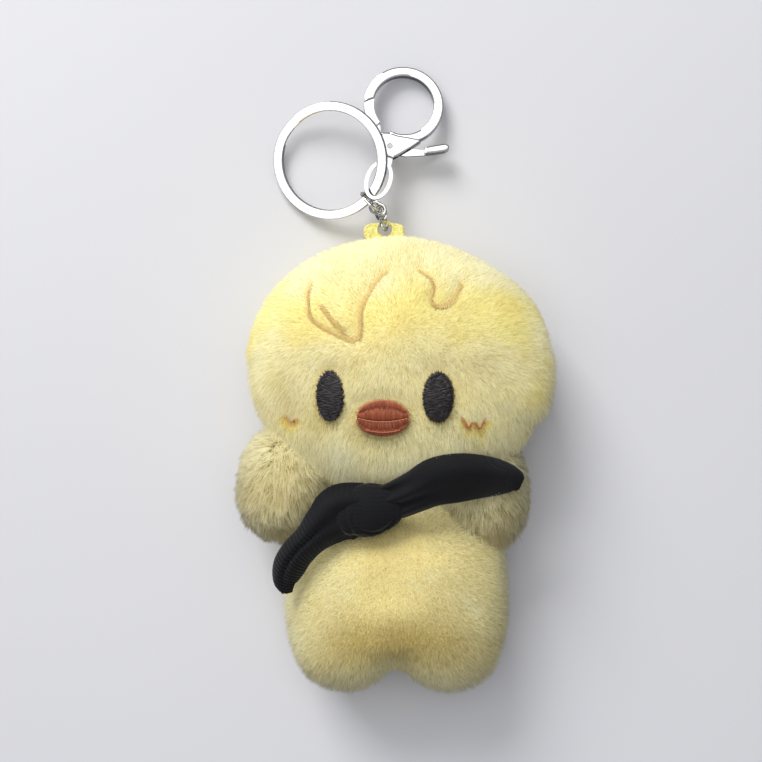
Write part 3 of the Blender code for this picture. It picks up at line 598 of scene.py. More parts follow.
def head_pile(v, f, count, rng, where):
    p, n = sample(v, f, where, count, rng)
    keep = np.ones(len(p), bool)
    front = p[:, 2] > 20
    for oval in EYES + [BEAK]:
        keep &= ~(front & (oval_distance(p, oval, 0.15) < 1.0))
    for line in FRINGE:
        keep &= ~(front & (line_distance(p, line) < 0.62))
    for line in BLUSH:
        keep &= ~(front & (line_distance(p, line) < 0.25))
    p, n = p[keep], n[keep]
    y = p[:, 1]
    face = smooth(10, 0, y)
    low = smooth(-8, -20, y)
    side = smooth(20, 32, np.abs(p[:, 0] - HEAD_C[0]))
    length = 1.75 + 0.95 * face + 1.5 * low + 0.45 * side
    near = np.full(len(p), 9.0)
    for oval in EYES + [BEAK]:
        near = np.minimum(near, np.maximum(oval_distance(p, oval) - 1, 0) * 4.5)
    for line in FRINGE + BLUSH:
        near = np.minimum(near, line_distance(p, line))
    near = np.where(p[:, 2] > 20, near, 9.0)
    length = length * (0.42 + 0.58 * smooth(0.2, 3.6, near)) * (0.75 + 0.5 * rng.random(len(p)))
    whorl = np.exp(-((p[:, 0] - 3.7) ** 2 + (y - 14.0) ** 2) / 150.0)
    lift = 0.66 + 0.20 * whorl - 0.20 * face + 0.08 * smooth(3, 0, near) + 0.06 * rng.normal(size=len(p))
    patchy = bumps(p, 0.32, 77)
    # shade is painted light and shade: lighter towards the crown, darker over the face.
    shade = 0.54 + 0.08 * smooth(8, 22, y) - 0.06 * face + 0.09 * patchy
    # Painted shade beside the eyes, beak, fringe and blush stitches.
    shade = shade - 0.12 * smooth(2.2, 0.2, near)
    blush = np.zeros(len(p))
    for line in BLUSH:
        blush = np.maximum(blush, np.exp(-(line_distance(p, line) / 1.5) ** 2))
    tuft = bumps(p, 0.55, 79)
    # Hollows above the eyes, above the beak and at the cheeks, darkened below: painted shade.
    hollow = np.zeros(len(p))
    for cx, cy, rx, ry in ((-12.0, 4.6, 5.0, 2.6), (14.0, 4.2, 6.0, 2.8), (0.5, -2.6, 6.0, 2.4),
                           (-21.0, -2.0, 3.0, 6.0), (23.0, 5.0, 5.0, 2.6)):
        hollow = np.maximum(hollow, np.exp(-((p[:, 0] - cx) / rx) ** 2 - ((y - cy) / ry) ** 2))
    # Lighter on the lower face and on the right of the face: painted light, where the lamp's light falls off.
    right = smooth(8, 30, p[:, 0]) * face
    shade = shade - 0.16 * hollow + 0.05 * tuft + 0.20 * low + 0.10 * right - 0.05 * face
    # pale turns the roots olive and darker in the hollows (painted shade); it also grows paler towards the crown
    # top and the chin.
    pale = 0.55 + 0.08 * smooth(16, 26, y) + 0.13 * smooth(16, -6, y) + 0.16 * low + 0.08 * patchy + 0.14 * hollow
    pale = pale * (1 - 0.55 * blush * (p[:, 2] > 18))
    return strands(p, n, head_flow(p), length, np.clip(lift, 0.2, 0.97), rng, width=0.20,
                   clump=0.45, clump_size=1.25, dark=np.clip(shade, 0, 1), pale=pale, rise=0.75)


def body_pile(v, f, count, rng, where):
    p, n = sample(v, f, where, count, rng)
    y = p[:, 1]
    x = p[:, 0] - BODY_C[0]
    flow = np.stack([0.035 * x + 0.3 * bumps(p, 0.1, 91), -0.8 + 0.3 * bumps(p, 0.12, 92),
                     np.zeros(len(p))], 1)
    notch = np.exp(-(x / 7.0) ** 2) * smooth(-64, -70, y)
    edge = smooth(20, 13, p[:, 2])
    length = (1.55 + 0.8 * smooth(-64, -75, y) + 1.0 * edge) * (1 - 0.5 * notch) * (0.7 + 0.6 * rng.random(len(p)))
    lift = np.clip(0.80 + 0.05 * rng.normal(size=len(p)), 0.2, 0.97)
    # A darker band across the crease above the feet: painted shade.
    arch = y + 62.0 + 0.010 * x * x
    crease_shade = np.exp(-(arch / 6.5) ** 2) * smooth(12, 20, p[:, 2]) * np.exp(-(x / 19.0) ** 4)
    # shade: painted shade in that band, painted light at the top of the body.
    shade = 0.50 + 0.03 * bumps(p, 0.3, 95) - 0.46 * crease_shade + 0.10 * smooth(-44, -34, y)
    pale = 0.64 + 0.04 * bumps(p, 0.2, 96) + 0.16 * smooth(-68, -75, y) + 0.2 * edge
    pale = pale + 0.04 * crease_shade + 0.06 * rng.normal(size=len(p)) * (0.3 + crease_shade)
    return strands(p, n, flow, length, lift, rng, width=0.17, clump=0.2, clump_size=1.0,
                   messy=0.16, dark=np.clip(shade, 0, 1), pale=pale)


def wing_pile(key, v, f, count, rng):
    p, n = sample(v, f, lambda c: 0.5 + (c[:, 2] > 10), count, rng)
    centre = FORMS[key][0]
    out = -1 if key.endswith("left") else 1
    x, y = p[:, 0] - centre[0], p[:, 1] - centre[1]
    flow = np.stack([0.05 * x + out * 0.12 + 0.35 * bumps(p, 0.2, 31),
                     -0.9 + 0.2 * bumps(p, 0.2, 32), np.zeros(len(p))], 1)
    length = (3.6 + 0.8 * bumps(p, 0.25, 33)) * (0.75 + 0.5 * rng.random(len(p)))
    lift = np.clip(0.46 + 0.06 * rng.normal(size=len(p)), 0.2, 0.95)
    # Painted shade: the wings darker than the body and darker still towards the bottom, with fully olive dark
    # roots (pale=1.0).
    shade = 0.34 + 0.12 * bumps(p, 0.4, 35) - 0.12 * smooth(-24, -38, p[:, 1])
    return strands(p, n, flow, length, lift, rng, width=0.23, clump=0.8, clump_size=1.9,
                   droop=0.1, messy=0.2, dark=np.clip(shade, 0, 1), pale=1.0, rise=0.0)


K = 1.0
hv, hf = skin("head", "head_plush", "plush",
              ["head_front_panel", "head_back_panel", "head_stuffing", "neck_seam"])
bv, bf = skin("body", "body_plush", "plush",
              ["body_front_panel", "body_back_panel", "body_stuffing"])
wl, wlf = skin("wing_left", "wing_left_plush", "wing_left",
               ["wing_left_cloth", "wing_left_stuffing"])
wr, wrf = skin("wing_right", "wing_right_plush", "wing_right",
               ["wing_right_cloth", "wing_right_stuffing"])

lay = [("head_pile_face", hv, hf, lambda c: ((c[:, 2] > 18) & (c[:, 1] < 6)) * 1.0, 19500, head_pile),
       ("head_pile_face_b", hv, hf, lambda c: ((c[:, 2] > 18) & (c[:, 1] < 6)) * 1.0, 19500, head_pile),
       ("head_pile_crown", hv, hf, lambda c: ((c[:, 2] > 18) & (c[:, 1] >= 6)) * 1.0, 19500, head_pile),
       ("head_pile_face_c", hv, hf, lambda c: ((c[:, 2] > 18) & (c[:, 1] < 6)) * 1.0, 19500, head_pile),
       ("head_pile_crown_b", hv, hf, lambda c: ((c[:, 2] > 18) & (c[:, 1] >= 6)) * 1.0, 19500, head_pile),
       ("head_pile_crown_c", hv, hf, lambda c: ((c[:, 2] > 18) & (c[:, 1] >= 6)) * 1.0, 15000, head_pile),
       ("head_pile_sides", hv, hf, lambda c: ((c[:, 2] <= 18) & (c[:, 2] > 6)) * 1.0, 19500, head_pile),
       ("head_pile_back", hv, hf, lambda c: (c[:, 2] <= 6) * 1.0, 14000, head_pile),
       ("body_pile_front", bv, bf, lambda c: (c[:, 2] > 14) * 1.0, 19500, body_pile),
       ("body_pile_front_b", bv, bf, lambda c: (c[:, 2] > 14) * 1.0, 19500, body_pile),
       ("body_pile_front_c", bv, bf, lambda c: (c[:, 2] > 14) * 1.0, 19500, body_pile),
       ("body_pile_back", bv, bf, lambda c: (c[:, 2] <= 14) * 1.0, 19500, body_pile)]
for name, v, f, where, count, make in lay:
    pile_object(name, [make(v, f, int(count * K), RNG, where)], PILE, "plush")
pile_object("wing_left_pile", [wing_pile("wing_left", wl, wlf, int(17500 * K), RNG)], PILE, "wing_left")
pile_object("wing_right_pile", [wing_pile("wing_right", wr, wrf, int(17500 * K), RNG)], PILE, "wing_right")


# ---------------------------------------------------------------- threads
def thread_material(name, low, high, end, sheen=0.4, rough=0.42):
    """Glossy twisted thread: 'strand' holds R tone of the stitch, G place along it, B a painted highlight."""
    m = Mat(name, Roughness=rough, Sheen_Weight=sheen, Sheen_Roughness=0.3)
    at = m.node("Attribute", attribute_name="strand")
    sep = m.node("SeparateColor")
    m.link(at.outputs["Color"], sep.inputs[0])
    tone = m.ramp(sep.outputs[0], [(0.0, low), (1.0, high)])
    # Both ends of each stitch darker: painted shade where the thread sinks into the cloth.
    ends = m.ramp(sep.outputs[1], [(0.0, end), (0.22, (1, 1, 1)), (0.78, (1, 1, 1)), (1.0, end)])
    c = m.mix(1.0, tone, ends, "MULTIPLY")
    v = m.coords()
    fine = m.noise(5200.0, 2.0, 0.6, vec=v)
    c = m.mix(1.0, c, m.ramp(fine, [(0.3, (0.82, 0.82, 0.82)), (0.7, (1.1, 1.1, 1.1))]), "MULTIPLY")
    # B mixes in a brighter colour: a painted highlight.
    c = m.mix(sep.outputs[2], c, (min(high[0] * 2.3, 1), min(high[1] * 2.6, 1), min(high[2] * 2.8, 1)))
    m.colour(c)
    m.bump(m.noise(2600.0, 3.0, 0.7, vec=v), 0.35, 0.0002)
    return m.m


def stitches(items, surface, thick=0.30, sides=4, steps=5):
    """items: (x0, y0, x1, y1, raise, tone, light), light being a painted highlight. Each is a taut arched thread
    over the surface.
    """
    verts, faces, att = [], [], []
    for x0, y0, x1, y1, rise, tone, light in items:
        a, b = np.array([x0, y0]), np.array([x1, y1])
        length = np.linalg.norm(b - a)
        if length < 0.15:
            continue
        s = np.linspace(0, 1, steps)
        xy = a + (b - a) * s[:, None]
        z = surface(xy[:, 0], xy[:, 1]) + rise * (1 - (2 * s - 1) ** 4) + thick * 0.1
        c = np.concatenate([xy, z[:, None]], 1)
        t = unit(np.gradient(c, axis=0))
        side = unit(np.cross(t, [0, 0, 1.0]))
        up = np.cross(side, t)
        base = len(verts)
        taper = np.array([0.55, 1.0, 1.0, 1.0, 0.55]) if steps == 5 else np.ones(steps)
        for i in range(steps):
            for j in range(sides):
                w = 2 * math.pi * (j + 0.5) / sides
                verts.append(c[i] + (side[i] * math.cos(w) + up[i] * math.sin(w)) * thick * 0.5 * taper[i])
                att.append((tone, s[i], light, 1))
        for i in range(steps - 1):
            for j in range(sides):
                k = (j + 1) % sides
                faces.append((base + i * sides + j, base + i * sides + k,
                              base + (i + 1) * sides + k, base + (i + 1) * sides + j))
        faces.append(tuple(base + j for j in reversed(range(sides))))
        faces.append(tuple(base + (steps - 1) * sides + j for j in range(sides)))
    return verts, faces, att


def dome(outline, surface, low, high, rings=5):
    """A low closed pad under the stitches."""
    pts = np.array(outline)
    c = pts.mean(0)
    n = len(pts)
    verts, faces = [], []
    for k in range(rings):
        f = 1 - k / rings
        ring = c + (pts - c) * f
        z = surface(ring[:, 0], ring[:, 1]) + low + (high - low) * (1 - f ** 3)
        verts += [(x, y, h) for (x, y), h in zip(ring, z)]
    verts.append((c[0], c[1], float(surface(c[:1], c[1:])[0]) + high))
    bottom = len(verts)
    zb = surface(pts[:, 0], pts[:, 1]) + low - 0.5
    verts += [(x, y, h) for (x, y), h in zip(pts, zb)]
    verts.append((c[0], c[1], float(surface(c[:1], c[1:])[0]) + low - 0.5))
    for k in range(rings - 1):
        for j in range(n):
            a, b = k * n + j, k * n + (j + 1) % n
            faces.append((a, b, b + n, a + n))
    for j in range(n):
        a, b = (rings - 1) * n + j, (rings - 1) * n + (j + 1) % n
        faces.append((a, b, rings * n))
        faces.append((bottom + (j + 1) % n, bottom + j, bottom + n))
        faces.append((j, bottom + j, bottom + (j + 1) % n, (j + 1) % n))
    return verts, faces, [(0.35, 0.5, 0, 1)] * len(verts)


def sewn(name, groups, material, node):
    verts, faces, att = [], [], []
    for v, f, a in groups:
        off = len(verts)
        verts += [tuple(p) for p in v]
        faces += [tuple(i + off for i in face) for face in f]
        att += a
    o = mesh_object(name, np.array(verts), faces, material, "plush")
    ca = o.data.color_attributes.new("strand", "FLOAT_COLOR", "POINT")
    ca.data.foreach_set("color", np.array(att, np.float32).ravel())
    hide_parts(node)
    return o


def face_surface(x, y):
    return head_height(np.asarray(x, float), np.asarray(y, float)) + 0.15


def eye(name, oval, node, slope, seed):
    x, y, a, b = oval
    rng = np.random.default_rng(seed)
    items = []
    rows = int(2 * b / 0.25)
    for r in range(rows):
        v = -b + (r + 0.5) * 2 * b / rows
        half = a * math.sqrt(max(1 - (v / b) ** 2, 0.0)) + 0.12 * rng.random()
        if half < 0.5:
            half = 0.5
        cuts = [-half] + sorted(rng.uniform(-half * 0.6, half * 0.6, 1 if half < 2 else 2)) + [half]
        for c0, c1 in zip(cuts, cuts[1:]):
            tilt = slope * (c1 - c0) * rng.choice([-1, 1]) * rng.random()
            d = 1 - (v / b) ** 2
            items.append((x + c0 - 0.05, y + v - tilt, x + c1 + 0.05, y + v + tilt,
                          0.30 + 0.28 * d, rng.random(), 0.0))
    for k in range(64):
        t = 2 * math.pi * k / 64 + rng.normal() * 0.03
        r0, r1 = 0.80 + 0.05 * rng.random(), 1.03 + 0.05 * rng.random()
        items.append((x + a * r0 * math.cos(t), y + b * r0 * math.sin(t),
                      x + a * r1 * math.cos(t + 0.05), y + b * r1 * math.sin(t + 0.05),
                      0.12, rng.random(), 0.0))
    outline = [(x + a * 0.97 * math.cos(t), y + b * 0.97 * math.sin(t))
               for t in np.linspace(0, 2 * math.pi, 40, endpoint=False)]
    return sewn(name, [dome(outline, face_surface, 0.05, 0.55), stitches(items, face_surface)],
                EYE_THREAD, node)


def beak_part(name, node, upper, seed):
    x, y, a, b = BEAK
    rng = np.random.default_rng(seed)
    mouth = lambda u: y + 0.15 - 0.95 * (1 - (u / a) ** 2)
    items, count = [], 58
    for k in range(count):
        u = -a * 0.985 + 2 * a * 0.985 * (k + 0.5) / count
        edge = b * math.sqrt(max(1 - (u / a) ** 2, 0)) * (1 if upper else -1)
        m = mouth(u)
        far = y + edge
        m = m - 0.10 * (1 if upper else -1)
        if (far - m) * (1 if upper else -1) < 0.3:
            continue
        fan = 0.10 * u
        parts = [(0.0, 1.0)]
        if abs(far - m) > 2.2:
            cut = 0.45 + 0.2 * rng.random()
            parts = [(0.0, cut + 0.08), (cut, 1.0)]
        for p0, p1 in parts:
            grow = 0.06 * rng.random()
            items.append((u * (1 - 0.05 * (1 - p0)) + x + fan * p0 * 0.5, m + (far - m) * p0,
                          u * (1 - 0.05 * (1 - p1)) + x + fan * p1 * 0.5, m + (far - m) * (p1 + grow * p1),
                          0.30 + 0.25 * (1 - abs(u / a)), rng.random(), 0.0))
    sign = 1 if upper else -1
    edge = [(x + a * 0.97 * math.cos(t), y + sign * b * 0.96 * abs(math.sin(t)))
            for t in np.linspace(0, math.pi, 26)]
    back = [(x + u, mouth(u) - sign * 0.02) for u in np.linspace(-a * 0.93, a * 0.93, 22)]
    outline = edge + back
    if not upper:
        outline = outline[::-1]
    groups = [dome(outline, face_surface, 0.05, 0.5), stitches(items, face_surface, thick=0.27)]
    # Lighter, raised stitches along the mouth line and across the lower beak: a painted highlight.
    pale = []
    lines = [(0.0, 0.93)] if upper else [(-0.62, 0.66)]
    for drop, reach in lines:
        n = 15
        for k in range(n):
            u0 = -a * reach + 2 * a * reach * k / n
            u1 = -a * reach + 2 * a * reach * (k + 1.12) / n
            f = lambda u: mouth(u) if upper else y - 3.35 + 1.3 * (u / a) ** 2
            mid = 1 - abs((k + 0.5) / n * 2 - 1)
            pale.append((x + u0, f(u0), x + u1, f(u1), 0.86, 0.7 + 0.3 * rng.random(),
                         (0.55 if upper else 0.22) + 0.35 * mid * rng.random()))
    groups.append(stitches(pale, face_surface, thick=0.24))
    return sewn(name, groups, BEAK_THREAD, node)


def along_line(points, step):
    pts = np.array(points, float)
    seg = np.linalg.norm(np.diff(pts, axis=0), axis=1)
    run = np.concatenate([[0], np.cumsum(seg)])
    count = max(int(run[-1] / step), 2)
    s = np.linspace(0, run[-1], count)
    fine = np.stack([np.interp(s, run, pts[:, i]) for i in (0, 1)], 1)
    for _ in range(3):
        fine[1:-1] = (fine[:-2] + 2 * fine[1:-1] + fine[2:]) / 4
    t = unit(np.gradient(fine, axis=0))
    return fine, t, s / run[-1]


def satin(name, lines, node, material, width, step, seed, slant=0.5, thick=0.24, dense=True):
    rng = np.random.default_rng(seed)
    items = []
    for line in lines:
        p, t, s = along_line(line, step)
        n = np.stack([-t[:, 1], t[:, 0]], 1)
        for i in range(len(p)):
            w = width * 0.5 * (0.72 + 0.28 * math.sin(math.pi * min(max(s[i], 0.02), 0.98)) ** 0.5)
            w *= 0.70 + 0.6 * rng.random()
            lean = t[i] * slant * w
            a, b = p[i] - n[i] * w - lean, p[i] + n[i] * w + lean
            items.append((a[0], a[1], b[0], b[1], 0.30 + 0.1 * rng.random(), rng.random(), 0.0))
            if i % 3 == 0 and dense:
                a, b = p[i] - n[i] * w * 0.8 + lean, p[i] + n[i] * w * 0.8 - lean
                items.append((a[0], a[1], b[0], b[1], 0.20, rng.random() * 0.6, 0.0))
    return sewn(name, [stitches(items, face_surface, thick=thick)], material, node)


EYE_THREAD = thread_material("eye_thread", (0.018, 0.014, 0.015), (0.065, 0.052, 0.055), (0.6, 0.6, 0.6))
BEAK_THREAD = thread_material("beak_thread", (0.36, 0.090, 0.040), (0.60, 0.170, 0.080), (0.80, 0.66, 0.62))
FRINGE_THREAD = thread_material("fringe_thread", (0.60, 0.32, 0.08), (0.92, 0.57, 0.17), (0.34, 0.20, 0.10), 0.35)
BLUSH_THREAD = thread_material("blush_thread", (0.62, 0.13, 0.06), (0.92, 0.29, 0.15), (0.8, 0.7, 0.7))

eye("eye_left_stitched", EYES[0], "eye_left", 0.30, 11)
eye("eye_right_stitched", EYES[1], "eye_right", 0.05, 12)
beak_part("beak_upper_stitched", "beak_upper", True, 13)
beak_part("beak_lower_stitched", "beak_lower", False, 14)
satin("fringe_left_outer_stitched", [FRINGE[0]], "fringe_left_outer", FRINGE_THREAD,
      1.15, 0.42, 15, thick=0.21, dense=False)
satin("fringe_left_inner_stitched", [FRINGE[1]], "fringe_left_inner", FRINGE_THREAD,
      1.30, 0.42, 16, thick=0.21, dense=False)
satin("fringe_right_stitched", [FRINGE[2]], "fringe_right", FRINGE_THREAD,
      1.05, 0.42, 17, thick=0.21, dense=False)
satin("blush_left_stitched", [BLUSH[0]], "blush_left", BLUSH_THREAD, 0.8, 0.42, 18,
      slant=1.5, thick=0.19, dense=False)
satin("blush_right_stitched", [BLUSH[1]], "blush_right", BLUSH_THREAD, 0.8, 0.42, 19,
      slant=1.5, thick=0.19, dense=False)


# ---------------------------------------------------------------- scarf
def cloth_material(name):
    m = Mat(name, Roughness=0.82, Sheen_Weight=0.35, Sheen_Roughness=0.4, Specular_IOR_Level=0.25)
    v = m.coords()
    at = m.node("Attribute", attribute_name="rib")
    sep = m.node("SeparateColor")
    m.link(at.outputs["Color"], sep.inputs[0])
    # The 'rib' tone lights the rib ridges and darkens the troughs and the underside: painted highlight and painted
    # shade.
    rib_light_and_shade = m.ramp(sep.outputs[0], [(0.35, (0.0052, 0.0055, 0.0068)), (0.80, (0.010, 0.011, 0.014)),
                                   (1.0, (0.030, 0.033, 0.042))])
    speck = m.ramp(m.noise(3100.0, 4.0, 0.75, vec=v), [(0.35, (0.7, 0.7, 0.7)), (0.62, (1, 1, 1)),
                                                       (0.80, (2.2, 2.3, 2.5))])
    c = m.mix(1.0, rib_light_and_shade, speck, "MULTIPLY")
    blotch = m.ramp(m.noise(160.0, 3.0, 0.5, vec=v), [(0.3, (0.8, 0.8, 0.82)), (0.7, (1.2, 1.2, 1.25))])
    c = m.mix(1.0, c, blotch, "MULTIPLY")
    m.colour(c)
    wave = m.node("TexWave", wave_type="BANDS", bands_direction="DIAGONAL")
    wave.inputs["Scale"].default_value = 900.0
    wave.inputs["Distortion"].default_value = 1.2
    wave.inputs["Detail"].default_value = 2.0
    m.link(v, wave.inputs["Vector"])
    m.bump(wave.outputs["Fac"], 0.35, 0.00012)
    return m.m


CLOTH = cloth_material("ribbed_cloth")


def spline(stations, count):
    """Catmull-Rom through rows of numbers, evenly spaced in plan."""
    p = np.array(stations, float)
    p = np.concatenate([[2 * p[0] - p[1]], p, [2 * p[-1] - p[-2]]])
    out = []
    for i in range(1, len(p) - 2):
        a, b, c, d = p[i - 1], p[i], p[i + 1], p[i + 2]
        for s in np.linspace(0, 1, 40, endpoint=False):
            out.append(0.5 * (2 * b + (c - a) * s + (2 * a - 5 * b + 4 * c - d) * s * s
                              + (3 * b - a - 3 * c + d) * s ** 3))
    out.append(p[-2])
    out = np.array(out)
    run = np.concatenate([[0], np.cumsum(np.linalg.norm(np.diff(out[:, :3], axis=0), axis=1))])
    s = np.linspace(0, run[-1], count)
    return np.stack([np.interp(s, run, out[:, i]) for i in range(out.shape[1])], 1), s


def rib_colour(o, tone):
    ca = o.data.color_attributes.new("rib", "FLOAT_COLOR", "POINT")
    t = np.clip(np.asarray(tone, float), 0, 1)
    ca.data.foreach_set("color", np.stack([t, t, t, np.ones_like(t)], 1).astype(np.float32).ravel())


def ribbon(name, node, stations, thick, fold, ribs, seed, spacing=0.24,
           across=34, fold_from=0):
    """stations: x, y, z, half width, drop of the lower edge. fold(s, u) lifts the cloth."""
    fine, run = spline(stations, int(sum(np.linalg.norm(np.subtract(b[:3], a[:3]))
                                         for a, b in zip(stations, stations[1:])) / spacing))
    c, half, drop = fine[:, :3], fine[:, 3], fine[:, 4]
    t = unit(np.gradient(c, axis=0))
    side = unit(np.cross([0, 0, 1.0], t))
    flip = -1 if side[len(side) // 2][1] < 0 else 1
    side = side * flip                       # towards the head
    up = unit(np.cross(t, side)) * flip
    long = run[-1]
    u = np.sin(np.linspace(-1, 1, across) * math.pi / 2 * 0.985) / math.sin(math.pi / 2 * 0.985)
    n = len(c)
    top = np.zeros((n, across, 3)); low = np.zeros((n, across, 3)); tone = np.zeros((n, across))
    pitch, skew, amp = ribs
    for i in range(n):
        s = run[i] / long
        lift, amp_i = fold(s, u)
        phase = (run[i] + skew * u * half[i] + 0.35 * np.sin(u * 2.2 + s * 5)) / pitch
        ridge = 0.5 + 0.5 * np.cos(2 * math.pi * phase)
        rim = np.sqrt(np.maximum(1 - np.abs(u) ** 5, 0))
        body = thick * 0.5 * rim
        base = c[i] + side[i] * (u * half[i])[:, None]
        base[:, 2] -= drop[i] * smooth(0.6, -1.0, u) - 0.0
        z = lift * rim
        top[i] = base + up[i] * (body + z + amp * amp_i * (ridge - 0.5) * rim)[:, None]
        low[i] = base - up[i] * (body - z * 0.75)[:, None]
        # Rib ridges lighter: painted highlight; the two edges lighter too.
        tone[i] = 0.25 + 0.55 * ridge * amp_i + 0.15 * np.abs(u) ** 6
    verts, faces, tones = [], [], []
    ring = 2 * across - 2
    for i in range(n):
        verts += list(top[i]) + list(low[i][-2:0:-1])
        # The underside takes 0.7 of the top's tone: painted shade.
        tones += list(tone[i]) + list(tone[i][-2:0:-1] * 0.7)
    for i in range(n - 1):
        for j in range(ring):
            k = (j + 1) % ring
            faces.append((i * ring + j, i * ring + k, (i + 1) * ring + k, (i + 1) * ring + j))
    for i, order in ((0, 1), (n - 1, -1)):
        hub = len(verts)
        verts.append(np.mean(verts[i * ring:(i + 1) * ring], axis=0)
                     + (t[i] * (0.35 if i else -0.35)))
        tones.append(0.5)
        for j in range(ring):
            k = (j + 1) % ring
            faces.append((i * ring + k, i * ring + j, hub) if order == 1
                         else (i * ring + j, i * ring + k, hub))
    verts = np.array(verts)
    ring0 = verts[:ring]
    normal = np.cross(ring0[1] - ring0[0], verts[ring] - ring0[0])
    if normal @ (ring0[0] - ring0.mean(0) + up[0] * 0.5) < 0:
        faces = [tuple(reversed(f)) for f in faces]
    o = mesh_object(name, verts, faces, CLOTH, "plush")
    rib_colour(o, tones)
    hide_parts(node)
    return o


def right_folds(s, u):
    near = math.exp(-(s / 0.34) ** 2)
    pleats = 0.85 * near * np.sin(u * 7.5 + 0.6 + 2.0 * s)
    roll = 0.9 * np.exp(-((u - 0.62 + 0.5 * s) / 0.30) ** 2) * smooth(0.05, 0.35, s) * (1 - s)
    belly = 1.5 * (1 - u * u) * (0.4 + 0.6 * smooth(0.0, 0.3, s)) * smooth(1.02, 0.7, s)
    return pleats + roll + belly, 0.35 + 0.3 * smooth(0.3, 0.9, s) * np.ones_like(u)


def left_folds(s, u):
    near = math.exp(-(s / 0.30) ** 2)
    pleats = 0.75 * near * np.sin(u * 6.5 - 0.4 - 2.5 * s)
    crease = -0.9 * np.exp(-((u + 0.10 - 0.35 * s) / 0.16) ** 2) * smooth(0.2, 0.5, s) * smooth(1.0, 0.7, s)
    belly = 1.4 * (1 - u * u) * smooth(1.02, 0.75, s)
    return pleats + crease + belly, 0.25 + 0.75 * smooth(0.25, 0.5, s) * np.ones_like(u)


ribbon("scarf_tail_right_cloth", "scarf_tail_right",
       RIGHT_TAIL,
       1.5, right_folds, (0.92, 0.75, 0.20), 41)
ribbon("scarf_tail_left_cloth", "scarf_tail_left",
       LEFT_TAIL,
       1.5, left_folds, (0.98, 0.30, 0.34), 42)


def knot():
    centre = np.array([-3.2, -31.1, 30.9])
    a, b, h = 9.6, 6.4, 3.3
    turn = 0.20
    rows, cols = 88, 120
    th = np.linspace(0, math.pi, rows + 1)[1:-1]
    ph = np.linspace(0, 2 * math.pi, cols, endpoint=False)
    T, P = np.meshgrid(th, ph, indexing="ij")
    # poles lie at the two ends of the band
    x = np.cos(T)
    y = np.sin(T) * np.cos(P)
    z = np.sin(T) * np.sin(P)
    ex = np.sign(x) * np.abs(x) ** 0.92
    swell = (1 - 0.16 * x * x)
    px, py, pz = a * ex, b * y * swell, h * z * swell
    bow = 0.10 * py ** 2 / b
    wraps = np.sin((px + bow * 1.6) * 0.95 + 0.5)
    cup = np.hypot((px - 1.2) / 5.2, (py + 1.6) / 4.0)
    groove = -0.32 * np.exp(-((cup - 1.0) / 0.10) ** 2) * smooth(0.5, -1.5, py) \
             - 0.35 * np.exp(-((px - bow * 2.4 + 5.6) / 0.6) ** 2)
    ridge = 0.5 + 0.5 * np.cos(2 * math.pi * (py * 0.9 + px * 0.35 + 0.3 * np.sin(px)) / 0.95)
    fade = np.sin(T) ** 0.8
    lift = (0.10 * wraps + groove) * fade + 0.10 * (ridge - 0.5) * fade
    nrm = unit(np.stack([px / a ** 2, py / b ** 2, pz / h ** 2], -1))
    pts = np.stack([px, py, pz], -1) + nrm * lift[..., None]
    # Rib ridges lighter: painted highlight.
    tone = (0.22 + 0.36 * ridge * fade).ravel()
    ends = np.array([[a * 1.0, 0, 0], [-a * 1.0, 0, 0]])
    pts = np.concatenate([pts.reshape(-1, 3), ends])
    c, s = math.cos(turn), math.sin(turn)
    pts = np.stack([c * pts[:, 0] - s * pts[:, 1], s * pts[:, 0] + c * pts[:, 1], pts[:, 2]], 1) + centre
    faces = []
    nr = rows - 1
    for i in range(nr - 1):
        for j in range(cols):
            k = (j + 1) % cols
            faces.append((i * cols + j, (i + 1) * cols + j, (i + 1) * cols + k, i * cols + k))
    for j in range(cols):
        k = (j + 1) % cols
        faces.append((j, k, nr * cols))
        faces.append(((nr - 1) * cols + k, (nr - 1) * cols + j, nr * cols + 1))
    p0, p1, p2 = (pts[q] for q in faces[0][:3])
    if np.cross(p1 - p0, p2 - p0) @ (p0 - centre) < 0:
        faces = [tuple(reversed(f)) for f in faces]
    o = mesh_object("scarf_knot_cloth", pts, faces, CLOTH, "plush")
    rib_colour(o, np.concatenate([tone, [0.3, 0.3]]))
    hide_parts("scarf_knot")


def neck_band():
    c = np.array([4.3, -26.9, 12.0])
    cols, rows = 160, 18
    verts, tone = [], []
    for i in range(cols):
        t = 2 * math.pi * i / cols
        r = np.array([11.4 * math.cos(t), 0, 7.4 * math.sin(t)])
        out = unit(np.array([math.cos(t) / 11.4, 0, math.sin(t) / 7.4]))
        for j in range(rows):
            w = 2 * math.pi * j / rows
            k = 1 + 0.10 * math.sin(3 * w + 5 * t) + 0.05 * math.sin(26 * t)
            verts.append(c + r + out * (0.8 * math.cos(w) * k) + np.array([0, 1.0 * math.sin(w) * k, 0]))
            # Ribs lighter in a regular wave: painted highlight.
            tone.append(0.3 + 0.25 * math.sin(26 * t + w) ** 2)
    faces = []
    for i in range(cols):
        for j in range(rows):
            a, b = i * rows, ((i + 1) % cols) * rows
            k = (j + 1) % rows
            faces.append((a + j, a + k, b + k, b + j))
    v = np.array(verts)
    p0, p1, p2 = (v[q] for q in faces[0][:3])
    if np.cross(p1 - p0, p2 - p0) @ (p0 - (c + np.array([11.4, 0, 0]))) < 0:
        faces = [tuple(reversed(f)) for f in faces]
    o = mesh_object("scarf_neck_band_cloth", v, faces, CLOTH, "plush")
    rib_colour(o, tone)
    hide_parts("scarf_neck_band")


neck_band()
knot()


